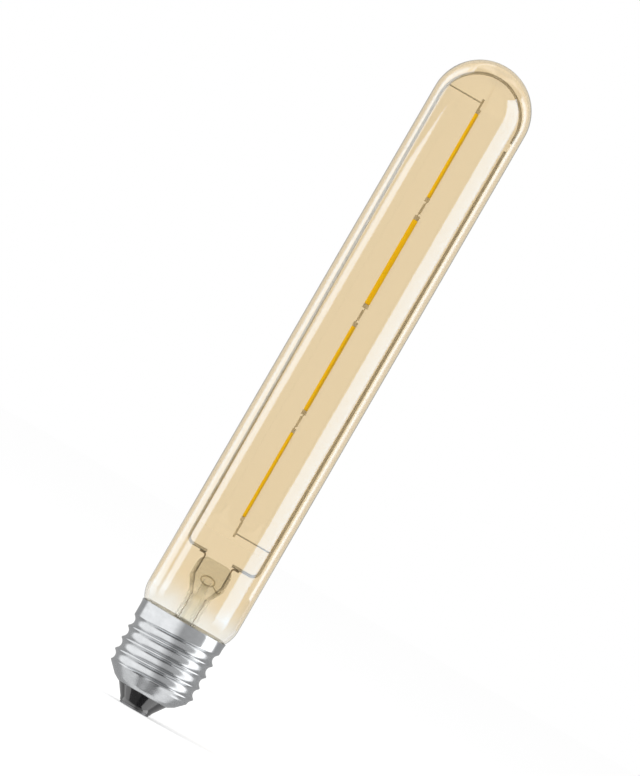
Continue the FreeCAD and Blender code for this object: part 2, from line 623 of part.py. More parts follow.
def make_filament(number, last):
    yaw = f"yaw_{number}"
    top = f"(string_top - {number - 1} * (coat_length + joint_gap))"
    bottom = f"({top} - coat_length)"
    name = f"filament_{number}"

    strip = block(f"{name}_strip", "strip_width", "strip_depth", "coat_length + 2 * clip_grip",
                  x="string_shift", z=f"{bottom} - clip_grip", yaw=yaw)
    keep(strip, f"{name}_strip")

    dies = new_body(f"{name}_dies")
    face = "-strip_depth / 2"
    spacing = "coat_length / die_count"
    margin = f"({spacing} - die_length) / 2"
    bond = draw(new_sketch(dies, "bond_outline", "XY_Plane", margin),
                rectangle("-bond_width / 2", f"{face} - bond_width", "bond_width / 2", face))
    pad(dies, "bond", bond, f"coat_length - 2 * {margin}")
    die = draw(new_sketch(dies, "die_outline", "XY_Plane", margin),
               rectangle("-die_width / 2", f"{face} - die_depth", "die_width / 2", face))
    first = pad(dies, "die", die, "die_length")
    row = dies.newObject("PartDesign::LinearPattern", f"{name}_dies_row")
    row.Originals = [first]
    row.Direction = (die, ["N_Axis"])
    bind(row, "Length", f"coat_length - {spacing}")
    bind(row, "Occurrences", "die_count")
    dies.Tip = row
    stand(dies, x="string_shift", z=bottom, yaw=yaw)
    keep(dies, f"{name}_dies")

    blank = new_body(f"{name}_blank")
    w, d, r = "coat_width / 2", "coat_depth / 2", "coat_round"
    outline = draw(new_sketch(blank, "outline", "XY_Plane"), [
        (f"-{w} + {r}", f"-{d}"), (f"{w} - {r}", f"-{d}", r, 1),
        (w, f"-{d} + {r}"), (w, f"{d} - {r}", r, 1),
        (f"{w} - {r}", d), (f"-{w} + {r}", d, r, 1),
        (f"-{w}", f"{d} - {r}"), (f"-{w}", f"-{d} + {r}", r, 1),
    ])
    pad(blank, "coat", outline, "coat_length")
    stand(blank, x="string_shift", z=bottom, yaw=yaw)
    around_strip = combine("Cut", f"{name}_around_strip", blank, strip)
    keep(combine("Cut", f"{name}_coat", around_strip, dies), f"{name}_coat")

    pin = "joint_gap - 2 * clip_length - pin_clearance"
    upper_pin = ("end_pin_width", "top_pin_room + pin_over") if number == 1 else ("pin_width", pin)
    lower_pin = ("end_pin_width", "bottom_pin_room + pin_over") if number == last else ("pin_width", pin)
    make_clip(f"{name}_upper_clip", yaw, top, 1, -1, *upper_pin)
    make_clip(f"{name}_lower_clip", yaw, bottom, -1, 1, *lower_pin)


# screw cap

FLANK_RISE = "((thread_pitch - crest_land - root_land) / 2)"
FLANK_DEPTH = "(crest_radius - root_radius)"
FLANK = f"sqrt({FLANK_RISE}^2 + {FLANK_DEPTH}^2)"


def groove_cutter(name, inset):
    """The solid that the thread's groove leaves out, offset towards the axis by inset.

    It is a sweep of the groove's section along the thread, and of the same section along a quarter
    turn that widens until the groove has left the metal.
    """
    root = f"(root_radius - {inset})"
    root_half = f"(root_land / 2 + {inset} * ({FLANK} - {FLANK_DEPTH}) / {FLANK_RISE})"
    crest_half = f"((thread_pitch - crest_land) / 2 + {inset} * ({FLANK} - {FLANK_RISE}) / {FLANK_DEPTH})"
    crest = f"(crest_radius - {inset})"
    spare = f"({crest} + shell_wall / 2)"
    spare_half = f"({crest_half} + shell_wall / 2 * {FLANK_RISE} / {FLANK_DEPTH})"
    outer = f"({crest} + shell_wall)"
    steps = [(outer, f"-{spare_half}"), (spare, f"-{spare_half}"), (root, f"-{root_half}"),
             (root, root_half), (spare, spare_half), (outer, spare_half)]
    runs = (
        ("thread", "thread_end_height - thread_turns * thread_pitch", "thread_turns * thread_pitch", "0"),
        ("run_out", "thread_end_height", "thread_pitch / 4",
         f"atan(({FLANK_DEPTH} + shell_wall) / (thread_pitch / 4))"),
    )
    cutters = []
    for run, start, height, widening in runs:
        section = doc.addObject("Sketcher::SketchObject", f"{name}_{run}_section")
        section.Placement.Rotation = FreeCAD.Rotation(FreeCAD.Vector(1, 0, 0), 90)
        bind(section, "Placement.Base.z", start)
        draw(section, steps)
        path = doc.addObject("Part::Helix", f"{name}_{run}_path")
        bind(path, "Pitch", "thread_pitch")
        bind(path, "Height", height)
        bind(path, "Radius", root)
        bind(path, "Angle", widening)
        bind(path, "Placement.Base.z", start)
        sweep = doc.addObject("Part::Sweep", f"{name}_{run}")
        sweep.Sections = [section]
        sweep.Spine = (path, [])
        sweep.Solid = True
        sweep.Frenet = True
        cutters.append(sweep)
    return cutters


def plug(name, inset, over):
    """The turned form of the shell before its thread is rolled, offset inwards by inset.

    It ends over above the collar's rim.
    """
    length = "sqrt(1 + cone_slope^2)"
    body = new_body(name)
    revolve(body, "form", [
        ("0", "shell_mouth_height"),
        (f"shell_mouth_radius - {inset}", "shell_mouth_height"),
        (f"cone_knee_radius - {inset} / {length}", f"cone_knee_height + {inset} * cone_slope / {length}"),
        (f"crest_radius - {inset}", f"cone_top + {inset} * ({length} - cone_slope)"),
        (f"collar_radius - {inset}", "cap_top - lip_height - plain_height"),
        (f"collar_radius - {inset}", "cap_top - lip_height"),
        (f"collar_radius - {inset} + lip_flare * (1 + ({over}) / lip_height)", f"cap_top + {over}"),
        ("0", f"cap_top + {over}"),
    ])
    return body


def make_cap():
    formed = plug("shell_outside", "0", "0")
    for cutter in groove_cutter("outer_groove", "0"):
        formed = combine("Cut", f"shell_{cutter.Name}", formed, cutter)
    hollow = plug("shell_inside", "shell_wall", "lip_height")
    for cutter in groove_cutter("inner_groove", "shell_wall"):
        hollow = combine("Cut", f"hollow_{cutter.Name}", hollow, cutter)
    shell = keep(combine("Cut", "cap_shell", formed, hollow), "cap_shell")

    cement = new_body("cement_ring")
    glass_radius, glass_height = blend("shoulder_radius")
    revolve(cement, "ring", [
        ("neck_radius", "cement_bottom"),
        ("collar_radius - shell_wall", "cement_bottom"),
        ("collar_radius - shell_wall", glass_height),
        (glass_radius, glass_height, "neck_fillet", 1),
        ("neck_radius", "fillet_height"),
    ])
    keep(cement, "cement_ring")

    insulator = new_body("cap_insulator")
    revolve(insulator, "cone", [
        ("shank_radius", "contact_thickness"),
        ("contact_radius + contact_margin", "contact_thickness"),
        ("contact_radius + contact_margin + insulator_edge", "insulator_foot_height"),
        ("shell_mouth_radius - shell_wall", "shell_mouth_height"),
        ("seat_radius", "seat_height"),
        ("shank_radius", "seat_height"),
    ])
    keep(insulator, "cap_insulator")

    contact = new_body("centre_contact")
    revolve(contact, "rivet", [
        ("0", "0"),
        ("contact_radius - contact_round", "0", "contact_round", 1),
        ("contact_radius", "contact_round"),
        ("contact_radius", "contact_thickness"),
        ("shank_radius", "contact_thickness"),
        ("shank_radius", "shank_height"),
        ("tail_radius", "shank_height"),
        ("tail_radius", "contact_floor"),
        ("0", "contact_floor"),
    ])
    keep(contact, "centre_contact")
    return shell


# driver inside the cap

def on_board(label, width, height, depth, side, rise):
    """A flat part on the board's front face, to the left or right of the exhaust tube."""
    middle = f"{side} * (exhaust_radius + part_clearance + {width} / 2)"
    part = block(label, width, depth, height,
                 x=middle, y=f"board_front - {depth} / 2", z=f"seat_height + {rise}")
    keep(part, label)


def make_driver(shell):
    board = new_body("driver_board")
    outline = draw(new_sketch(board, "outline", "XZ_Plane", "-board_back"),
                   rectangle("-board_half", "seat_height", "board_half", "board_top"))
    pad(board, "sheet", outline, "board_depth")
    keep(board, "driver_board")

    on_board("bridge_rectifier", "rectifier_width", "rectifier_height", "rectifier_depth", -1,
             "rectifier_rise")
    on_board("driver_chip", "chip_width", "chip_height", "chip_depth", 1, "chip_rise")
    on_board("sense_resistor", "resistor_width", "resistor_height", "resistor_depth", 1, "resistor_rise")

    capacitor = new_body("smoothing_capacitor")
    revolve(capacitor, "can", [
        ("0", "0"),
        ("capacitor_radius", "0"),
        ("capacitor_radius", "2 * capacitor_neck"),
        ("capacitor_radius - capacitor_neck", "3 * capacitor_neck"),
        ("capacitor_radius", "4 * capacitor_neck"),
        ("capacitor_radius", "capacitor_length"),
        ("0", "capacitor_length"),
    ])
    for name, side in (("left_pin", "-1"), ("right_pin", "1")):
        spread = f"{side} * capacitor_pin_spread"
        pipe(capacitor, name, rounded([
            ("0", "tail_radius"),
            ("0", "-2 * tail_bend", "tail_bend"),
            ("-capacitor_radius", "-2 * tail_bend"),
        ]), "tail_radius", ("XY_Plane", "tail_radius", spread, "0"), "YZ_Plane", spread)
    stand(capacitor, y="board_back + capacitor_radius", z="capacitor_low")
    keep(capacitor, "smoothing_capacitor")

    fuse = new_body("fuse_resistor")
    revolve(fuse, "resistor", [
        ("0", "contact_floor"),
        ("tail_radius", "contact_floor"),
        ("tail_radius", "fuse_bottom"),
        ("fuse_radius - fuse_edge", "fuse_bottom"),
        ("fuse_radius", "fuse_bottom + fuse_edge"),
        ("fuse_radius", "fuse_top - fuse_edge"),
        ("fuse_radius - fuse_edge", "fuse_top"),
        ("0", "fuse_top"),
    ])
    pipe(fuse, "upper_lead", rounded([
        ("0", "fuse_top - tail_radius"),
        ("0", "fuse_lead_height", "tail_bend"),
        ("board_front", "fuse_lead_height"),
    ]), "tail_radius", ("XY_Plane", "fuse_top - tail_radius", "0", "0"), "YZ_Plane")
    keep(fuse, "fuse_resistor")

    middle = "(board_front + board_depth / 2)"
    reach = f"sqrt((root_radius - shell_wall / 2)^2 - {middle}^2)"
    rod = doc.addObject("Part::Cylinder", "shell_lead_rod")
    bind(rod, "Radius", "tail_radius")
    bind(rod, "Height", f"{reach} - board_half")
    rod.Placement.Rotation = FreeCAD.Rotation(FreeCAD.Vector(0, 1, 0), 90)
    bind(rod, "Placement.Base.x", "board_half")
    bind(rod, "Placement.Base.y", middle)
    bind(rod, "Placement.Base.z",
         f"thread_end_height - 2 * thread_pitch + thread_pitch * atan({middle} / {reach}) / 360 deg")
    keep(combine("Cut", "shell_lead", rod, shell), "shell_lead")


# build order

make_envelope()
make_stem()
make_wires()
for number in range(1, 5):
    make_filament(number, 4)
make_driver(make_cap())

doc.recompute()

failed = [item.Name for item in doc.Objects if "Invalid" in item.State or "Error" in item.State]
if failed:
    raise RuntimeError(f"objects that did not recompute: {failed}")
for piece in pieces:
    if piece.Shape.isNull() or not piece.Shape.isValid():
        raise RuntimeError(f"{piece.Label} has no valid shape")

os.makedirs("parts", exist_ok=True)
for piece in pieces:
    piece.Shape.exportStep(os.path.join("parts", f"{piece.Label}.step"))
    print(piece.Label, len(piece.Shape.Solids), round(piece.Shape.Volume, 3))
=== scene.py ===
"""Looks, studio and camera for a tubular filament bulb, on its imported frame."""

import logging
from dataclasses import dataclass
from enum import Enum
from math import atan2, copysign, cos, degrees, pi, radians, sin, sqrt

import bmesh
import bpy
from mathutils import Matrix, Vector


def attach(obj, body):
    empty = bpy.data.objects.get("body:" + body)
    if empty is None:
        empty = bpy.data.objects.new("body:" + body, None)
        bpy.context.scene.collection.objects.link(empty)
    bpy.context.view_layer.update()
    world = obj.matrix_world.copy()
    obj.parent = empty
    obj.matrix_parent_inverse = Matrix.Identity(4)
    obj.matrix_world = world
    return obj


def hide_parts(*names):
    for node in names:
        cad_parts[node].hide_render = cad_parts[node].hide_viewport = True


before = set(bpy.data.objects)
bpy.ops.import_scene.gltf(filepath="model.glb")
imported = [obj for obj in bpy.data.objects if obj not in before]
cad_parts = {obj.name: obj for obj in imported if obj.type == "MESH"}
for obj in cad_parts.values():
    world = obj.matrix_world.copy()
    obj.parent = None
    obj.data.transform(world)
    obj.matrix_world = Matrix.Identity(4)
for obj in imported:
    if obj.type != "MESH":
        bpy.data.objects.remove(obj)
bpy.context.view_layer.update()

LOG = logging.getLogger("bulb")
MM = 0.001
PHOTO_HEIGHT = 776
# Above the first depth a ray was mirrored; below the second it has passed no more than the near wall.
MIRRORED = 0.5
NEAR_WALL = 2.5

Point = tuple[float, float]
Settings = dict[str | int, object]
Tree = bpy.types.NodeTree
Node = bpy.types.Node
Socket = bpy.types.NodeSocket


def linear(code: str) -> tuple[float, float, float, float]:
    """Turn an sRGB hex colour into a linear one.

    Args:
        code: The colour, such as "#e2cda7".

    Returns:
        Red, green, blue and an alpha of 1.
    """
    parts = [int(code[start:start + 2], 16) / 255 for start in (1, 3, 5)]
    red, green, blue = [
        part / 12.92 if part <= 0.04045 else ((part + 0.055) / 1.055) ** 2.4 for part in parts
    ]
    return red, green, blue, 1.0


def add_node(tree: Tree, kind: str, settings: Settings | None = None, links: Settings | None = None) -> Node:
    """Add a node, set its properties and input values, and link its inputs.

    Args:
        tree: The node tree that gets it.
        kind: The node's type, without the ShaderNode in front of it.
        settings: Values by property name, or by the name or number of an input.
        links: Output sockets by the name or number of the input that they feed.

    Returns:
        The new node.
    """
    node = tree.nodes.new(f"ShaderNode{kind}")
    for name, value in (settings or {}).items():
        if isinstance(name, str) and name in node.bl_rna.properties:
            setattr(node, name, value)
        else:
            node.inputs[name].default_value = value
    for name, socket in (links or {}).items():
        tree.links.new(socket, node.inputs[name])
    return node


def per_metre(millimetres: float) -> float:
    """The texture scale at which one feature of a pattern has this real size."""
    return 1.0 / (millimetres * MM)


def empty_tree(holder: bpy.types.Material | bpy.types.World) -> Tree:
    """Give a material or the world a node tree with nothing in it.

    Args:
        holder: What gets the tree.

    Returns:
        The tree.
    """
    holder.use_nodes = True
    holder.node_tree.nodes.clear()
    return holder.node_tree


def height_of(tree: Tree) -> Socket:
    """The height of the shaded point above its object's origin, in metres."""
    place = add_node(tree, "TexCoord")
    return add_node(tree, "SeparateXYZ", links={0: place.outputs["Object"]}).outputs["Z"]


def ray_path(tree: Tree) -> tuple[Node, Socket, Socket]:
    """Find out how a ray came to a surface.

    Args:
        tree: The node tree that needs to know.

    Returns:
        The light path, whether the ray was mirrored, and whether it has passed no more than the near wall.
    """
    path = add_node(tree, "LightPath")
    mirrored = add_node(tree, "Math", {"operation": "GREATER_THAN", 1: MIRRORED}, {
        0: path.outputs["Glossy Depth"]})
    near = add_node(tree, "Math", {"operation": "LESS_THAN", 1: NEAR_WALL}, {
        0: path.outputs["Transmission Depth"]})
    return path, mirrored.outputs[0], near.outputs[0]


# finishes


@dataclass(frozen=True)
class Finish:
    """What a surface is made of, and how it was made."""

    name: str
    colour: str
    roughness: float

    def material(self) -> bpy.types.Material:
        """Make the finish's material once.

        Returns:
            The material, new or made before.
        """
        made = bpy.data.materials.get(self.name)
        if made is None:
            made = bpy.data.materials.new(self.name)
            tree = empty_tree(made)
            shader = add_node(tree, "BsdfPrincipled", self.settings())
            add_node(tree, "OutputMaterial", links={"Surface": self.surface(tree, shader)})
        return made

    def settings(self) -> Settings:
        """The constants of the finish's shader."""
        return {"Base Color": linear(self.colour), "Roughness": self.roughness}

    def surface(self, tree: Tree, shader: Node) -> Socket:
        """The socket that the material shows; a plain finish shows its shader."""
        return shader.outputs["BSDF"]

    def noise(
        self, tree: Tree, size: float, stretch: tuple[float, float, float] = (1, 1, 1),
        detail: float = 2.0,
    ) -> Socket:
        """Uneven grain fixed to the object.

        Args:
            tree: The material's node tree.
            size: The grain's real size in millimetres.
            stretch: Density of the grain along X, Y and Z; below 1 draws it out.
            detail: How many finer layers the grain has.

        Returns:
            The socket that gives the grain, from 0 to 1.
        """
        place = add_node(tree, "TexCoord")
        drawn = add_node(tree, "Mapping", {"Scale": stretch}, {"Vector": place.outputs["Object"]})
        return add_node(tree, "TexNoise", {"Scale": per_metre(size), "Detail": detail},
                        {"Vector": drawn.outputs["Vector"]}).outputs[0]

    def spread(self, tree: Tree, value: Socket, low: float, high: float) -> Socket:
        """A grain of 0.3 to 0.7 spread over the range from low to high."""
        return add_node(tree, "MapRange", {
            "From Min": 0.3, "From Max": 0.7, "To Min": low, "To Max": high}, {"Value": value}).outputs[0]

    def relief(self, tree: Tree, shader: Node, height: Socket, depth: float) -> None:
        """Let a grain stand out from the surface.

        Args:
            tree: The material's node tree.
            shader: The shader whose normal is turned.
            height: The socket that gives the grain.
            depth: The relief's real depth in millimetres.
        """
        bump = add_node(tree, "Bump", {"Strength": 1.0, "Distance": depth * MM},
                        {"Height": height})
        tree.links.new(bump.outputs["Normal"], shader.inputs["Normal"])

    def tone(self, tree: Tree, shader: Node, value: Socket, other: str) -> None:
        """Let the colour wander towards another one.

        Args:
            tree: The material's node tree.
            shader: The shader that gets the colour.
            value: The socket that gives the share of the other colour.
            other: The other colour's sRGB hex code.
        """
        mixed = add_node(tree, "Mix", {
            "data_type": "RGBA", 6: linear(self.colour), 7: linear(other)}, {0: value})
        tree.links.new(mixed.outputs[2], shader.inputs["Base Color"])


@dataclass(frozen=True)
class Glass(Finish):
    """Clear glass that lets lamp light through; the thinner its wall, the more passes unbent."""

    ior: float = 1.5
    unbent: float = 0.0
    streak: float = 1.2
    streak_share: float = 0.35

    def settings(self) -> Settings:
        """Glass all through."""
        return super().settings() | {"Transmission Weight": 1.0, "IOR": self.ior}

    def tint(self, tree: Tree) -> Socket:
        """The colour that one wall gives to light; drawn glass has fine streaks along its length."""
        streaks = self.spread(tree, self.noise(tree, self.streak, (1, 1, 0.02)), 0.0, self.streak_share)
        return add_node(tree, "Mix", {
            "data_type": "RGBA", 6: linear(self.colour), 7: linear("#ffffff")}, {0: streaks}).outputs[2]

    def straight(self, tree: Tree) -> Socket:
        """Let all soft light pass unbent, and some of the rest.

        Args:
            tree: The material's node tree.

        Returns:
            The share of light that passes unbent.
        """
        path = add_node(tree, "LightPath")
        soft = add_node(tree, "Math", {"operation": "MAXIMUM"}, {
            0: path.outputs["Is Shadow Ray"], 1: path.outputs["Is Diffuse Ray"]})
        return add_node(tree, "Math", {"operation": "MAXIMUM", 1: self.unbent}, {
            0: soft.outputs[0]}).outputs[0]

    def surface(self, tree: Tree, shader: Node) -> Socket:
        """Refract what the eye sees, and pass soft light straight on.

        Args:
            tree: The material's node tree.
            shader: The glass shader.

        Returns:
            The mixed surface.
        """
        tint = self.tint(tree)
        tree.links.new(tint, shader.inputs["Base Color"])
        half = add_node(tree, "Gamma", {"Gamma": 0.5}, {"Color": tint})
        through = add_node(tree, "BsdfTransparent", links={"Color": half.outputs["Color"]})
        mixed = add_node(tree, "MixShader", links={
            0: self.straight(tree), 1: shader.outputs["BSDF"], 2: through.outputs["BSDF"]})
        return mixed.outputs["Shader"]


@dataclass(frozen=True)
class PressedGlass(Glass):
    """Stem glass: a clear tube below, solid and wavy from the press jaws above."""

    pressed: str = "#dddcd4"
    tube_unbent: float = 0.7
    tube_ends: float = 34.0
    press_starts: float = 40.0
    wave: float = 1.7
    wave_depth: float = 0.16

    def thick(self, tree: Tree) -> Socket:
        """1 where the jaws closed the tube to solid glass, 0 where it is still a tube."""
        return add_node(tree, "MapRange", {
            "interpolation_type": "SMOOTHSTEP", "From Min": self.tube_ends * MM,
            "From Max": self.press_starts * MM}, {"Value": height_of(tree)}).outputs[0]

    def straight(self, tree: Tree) -> Socket:
        """The share that passes unbent, larger in the thin tube than in the solid press."""
        share = add_node(tree, "MapRange", {
            "To Min": self.tube_unbent, "To Max": self.unbent}, {"Value": self.thick(tree)})
        return add_node(tree, "Math", {"operation": "MAXIMUM"}, {
            0: super().straight(tree), 1: share.outputs[0]}).outputs[0]

    def tint(self, tree: Tree) -> Socket:
        """The colour of one skin, deeper where the glass is thick."""
        return add_node(tree, "Mix", {
            "data_type": "RGBA", 6: linear(self.colour), 7: linear(self.pressed)},
            {0: self.thick(tree)}).outputs[2]

    def surface(self, tree: Tree, shader: Node) -> Socket:
        """Bend light in the soft bands that the jaws leave across the glass.

        Args:
            tree: The material's node tree.
            shader: The glass shader.

        Returns:
            The mixed surface.
        """
        bands = self.noise(tree, self.wave, (0.12, 0.12, 1), 1.0)
        height = add_node(tree, "Math", {"operation": "MULTIPLY"}, {
            0: bands, 1: self.thick(tree)})
        self.relief(tree, shader, height.outputs[0], self.wave_depth)
        return super().surface(tree, shader)


@dataclass(frozen=True)
class GoldGlass(Glass):
    """Blown soda-lime glass with a gold-coloured film that thins out above the cap."""

    clear: str = "#f8f7f3"
    film_ends: float = 28.0
    film_full: float = 40.0
    drift: float = 2.0
    drift_size: float = 9.0
    cloud_size: float = 14.0
    thinnest: float = 0.965

    def tint(self, tree: Tree) -> Socket:
        """Fade from clear glass at the neck to the full film, which is a little uneven.

        Args:
            tree: The material's node tree.

        Returns:
            The colour of one wall.
        """
        drift = self.spread(tree, self.noise(tree, self.drift_size), -self.drift * MM, self.drift * MM)
        height = add_node(tree, "Math", {"operation": "ADD"}, {0: height_of(tree), 1: drift})
        film = add_node(tree, "MapRange", {
            "interpolation_type": "SMOOTHSTEP", "From Min": self.film_ends * MM,
            "From Max": self.film_full * MM}, {"Value": height.outputs[0]})
        clouds = self.noise(tree, self.cloud_size, (1, 1, 0.15))
        uneven = self.spread(tree, clouds, self.thinnest, 1.0)
        share = add_node(tree, "Math", {"operation": "MULTIPLY"}, {0: film.outputs[0], 1: uneven})
        return add_node(tree, "Mix", {
            "data_type": "RGBA", 6: linear(self.clear), 7: linear(self.colour)},
            {0: share.outputs[0]}).outputs[2]


@dataclass(frozen=True)
class Metal(Finish):
    """Bare or plated metal with the marks of its drawing, rolling or stamping."""

    dull: str
    mark: float
    stretch: tuple[float, float, float]
    depth: float = 0.001

    def settings(self) -> Settings:
        """Metal all through."""
        return super().settings() | {"Metallic": 1.0}

    def surface(self, tree: Tree, shader: Node) -> Socket:
        """Draw the marks into tone, gloss and relief.

        Args:
            tree: The material's node tree.
            shader: The metal's shader.

        Returns:
            The shader's surface.
        """
        marks = self.noise(tree, self.mark, self.stretch, 4.0)
        self.tone(tree, shader, self.spread(tree, self.noise(tree, 12 * self.mark), 0.0, 1.0), self.dull)
        gloss = self.spread(tree, marks, 0.75 * self.roughness, 1.3 * self.roughness)
        tree.links.new(gloss, shader.inputs["Roughness"])
        self.relief(tree, shader, marks, self.depth)
        return shader.outputs["BSDF"]


@dataclass(frozen=True)
class RolledNickel(Metal):
    """Nickel-plated brass sheet, drawn and rolled, polished on its crests by handling."""

    root: float = 12.1
    crest: float = 13.1
    root_roughness: float = 0.24
    smear: float = 3.5

    def surface(self, tree: Tree, shader: Node) -> Socket:
        """Roll marks round the shell, duller plating in the thread's roots.

        Args:
            tree: The material's node tree.
            shader: The metal's shader.

        Returns:
            The shader's surface.
        """
        place = add_node(tree, "TexCoord")
        flat = add_node(tree, "VectorMath", {"operation": "MULTIPLY", 1: (1, 1, 0)},
                        {0: place.outputs["Object"]})
        radius = add_node(tree, "VectorMath", {"operation": "LENGTH"}, {0: flat.outputs[0]})
        worn = add_node(tree, "MapRange", {
            "From Min": self.root * MM, "From Max": self.crest * MM,
            "To Min": self.root_roughness, "To Max": self.roughness}, {"Value": radius.outputs["Value"]})
        marks = self.noise(tree, self.mark, self.stretch, 4.0)
        smears = self.noise(tree, self.smear, (1, 1, 1.6), 3.0)
        uneven = self.spread(tree, smears, 0.8, 1.25)
        gloss = add_node(tree, "Math", {"operation": "MULTIPLY"}, {0: worn.outputs[0], 1: uneven})
        tree.links.new(gloss.outputs[0], shader.inputs["Roughness"])
        self.tone(tree, shader, self.spread(tree, smears, 0.0, 1.0), self.dull)
        self.relief(tree, shader, marks, self.depth)
        return shader.outputs["BSDF"]


@dataclass(frozen=True)
class Moulded(Finish):
    """A moulded, cast or sintered surface with a fine grain."""

    other: str
    grain: float
    depth: float
    stretch: tuple[float, float, float] = (1, 1, 1)

    def surface(self, tree: Tree, shader: Node) -> Socket:
        """Give the grain tone, gloss and relief.

        Args:
            tree: The material's node tree.
            shader: The surface's shader.

        Returns:
            The shader's surface.
        """
        grain = self.noise(tree, self.grain, self.stretch, 3.0)
        self.tone(tree, shader, self.spread(tree, grain, 0.0, 1.0), self.other)
        gloss = self.spread(
            tree, self.noise(tree, 6 * self.grain), 0.8 * self.roughness, 1.2 * self.roughness)
        tree.links.new(gloss, shader.inputs["Roughness"])
        self.relief(tree, shader, grain, self.depth)
        return shader.outputs["BSDF"]


@dataclass(frozen=True)
class BlackGlass(Moulded):
    """Opaque black glass with a fire-polished skin, which mirrors over its glossy body."""

    def settings(self) -> Settings:
        """Polish the skin."""
        return super().settings() | {
            "IOR": 1.75, "Coat Weight": 1.0, "Coat Roughness": 0.05, "Coat IOR": 1.75}


@dataclass(frozen=True)
class Phosphor(Moulded):
    """Silicone filled with yellow phosphor, dispensed as a bead, so light sinks in a little."""

    def settings(self) -> Settings:
        """Let light sink into the grainy bead."""
        return super().settings() | {
            "IOR": 1.41, "Specular IOR Level": 0.2, "Sheen Weight": 0.6, "Sheen Roughness": 0.4,
            "Sheen Tint": linear("#fff0c8"), "Subsurface Weight": 0.25,
            "Subsurface Radius": (1.0, 0.6, 0.1), "Subsurface Scale": 0.15 * MM}


@dataclass(frozen=True)
class SolderMask(Moulded):
    """Glass cloth board under green lacquer: the cloth's weave shows as a faint grid."""

    thread: float = 0.45

    def surface(self, tree: Tree, shader: Node) -> Socket:
        """Lay the weave under the lacquer.

        Args:
            tree: The material's node tree.
            shader: The lacquer's shader.

        Returns:
            The shader's surface.
        """
        place = add_node(tree, "TexCoord")
        waves = [
            add_node(tree, "TexWave", {
                "bands_direction": way, "Scale": per_metre(self.thread) / 10}, {
                "Vector": place.outputs["Object"]})
            for way in ("X", "Z")
        ]
        weave = add_node(tree, "Math", {"operation": "MULTIPLY"}, {
            0: waves[0].outputs["Fac"], 1: waves[1].outputs["Fac"]})
        self.tone(tree, shader, weave.outputs[0], self.other)
        self.relief(tree, shader, weave.outputs[0], self.depth)
        return shader.outputs["BSDF"]


# Gold film on clear glass: warm beige against white, with sharp colourless reflections.
GOLD_GLASS = GoldGlass("gold_filmed_blown_glass", "#f6ead3", 0.0)
# Drawn and pressed stem glass: a clear tube below, faintly grey and wavy in the solid press.
STEM_GLASS = PressedGlass("pressed_stem_glass", "#fefefc", 0.0, 1.5, 0.5)
# Thick flame-polished rolls of the same glass, tinted tan: the tint is painted shade for the dark line that
# their edges show on the press, while their refraction is real.
BEAD_GLASS_PAINTED_SHADE = Glass("flame_polished_glass_bead_painted_shade", "#b9ab82", 0.0)
# Drawn exhaust tubing of the same glass: its thin wall is no more than a faint double line.
TUBE_GLASS = Glass("drawn_exhaust_glass", "#faf8f1", 0.0, 1.5, 0.7)
# Nickel over rolled brass: bright, cool grey, with soft-edged reflections and roll marks round it.
NICKEL_SHELL = RolledNickel(
    "rolled_nickel_plate", "#dcdee0", 0.13, "#cfd1d3", 0.35, (0.04, 0.04, 1), 0.0012)
# Tinned brass plate: grey and slightly dull, with marks too fine to see, drawn at 0.3 mm.
CONTACT_PLATE = Metal("tinned_contact_plate", "#848486", 0.3, "#6c6c6e", 0.3, (1, 1, 1))
# Black glass cast into the cap: near black, glossy, slightly wavy.
BLACK_GLASS = BlackGlass("moulded_black_glass", "#101011", 0.12, "#17171a", 2.2, 0.012)
# Filled resin cement: chalky, pale, with sand-like grain.
CEMENT = Moulded("cast_resin_cement", "#f8f7f3", 0.85, "#efede6", 0.4, 0.04)
# Nickel-iron wire, drawn: warm grey with lines along it.
SUPPORT_WIRE = Metal("drawn_nickel_iron_wire", "#c6c2b8", 0.32, "#b8b4aa", 0.2, (1, 1, 0.1))
# Copper-clad lead wire, drawn and borated: a little redder and darker.
LEAD_WIRE = Metal("drawn_copper_clad_wire", "#a59b88", 0.35, "#8d8270", 0.2, (1, 1, 0.1))
# Stamped steel clips with a nickel strike: paler and a little warmer than the wires.
CLIP_METAL = Metal("stamped_steel_clip", "#d3ccbc", 0.35, "#bdb6a5", 0.25, (1, 1, 1))
# Sintered alumina strip: white, matt, fine grain.
CARRIER = Moulded("sintered_alumina", "#e9e6de", 0.55, "#d9d5cb", 0.15, 0.004)
# Sapphire dies: clear pale blue crystal, cut sharp.
DIES = Glass("cut_sapphire", "#c9d6ea", 0.05, 1.77)
# Phosphor silicone: saturated golden yellow, satin, grain of 0.03 mm drawn at 0.18 mm.
PHOSPHOR = Phosphor("dispensed_phosphor_silicone", "#fdd918", 0.55, "#f7ca10", 0.18, 0.012)
# Board of glass cloth with green lacquer: satin with a faint weave of 0.45 mm threads.
BOARD = SolderMask("lacquered_glass_cloth_board", "#1c5a38", 0.4, "#257046", 0.45, 0.01)
# Transfer-moulded epoxy: matt black from the fine blast of its mould.
EPOXY = Moulded("moulded_black_epoxy", "#1d1d1f", 0.6, "#2a2a2c", 0.1, 0.006)
# Glazed resistor ceramic: dark with a thin gloss.
CHIP_CERAMIC = Moulded("glazed_chip_ceramic", "#26282b", 0.3, "#33363a", 0.15, 0.004)
# Deep-drawn aluminium can: silvery, with draw lines along it.
CAN = Metal("deep_drawn_aluminium", "#c4c6c8", 0.28, "#b2b4b7", 0.3, (1, 1, 0.08))
# Flame-proof lacquer on the fusible resistor: blue-grey, satin, a little lumpy.
LACQUER = Moulded("dipped_resistor_lacquer", "#7d8f97", 0.45, "#6d7f88", 0.6, 0.03)
# Hot-tinned copper wire: bright, soft white metal.
TINNED_WIRE = Metal("hot_tinned_wire", "#d2d1cc", 0.22, "#bfbdb6", 0.25, (1, 1, 0.1))


# meshes


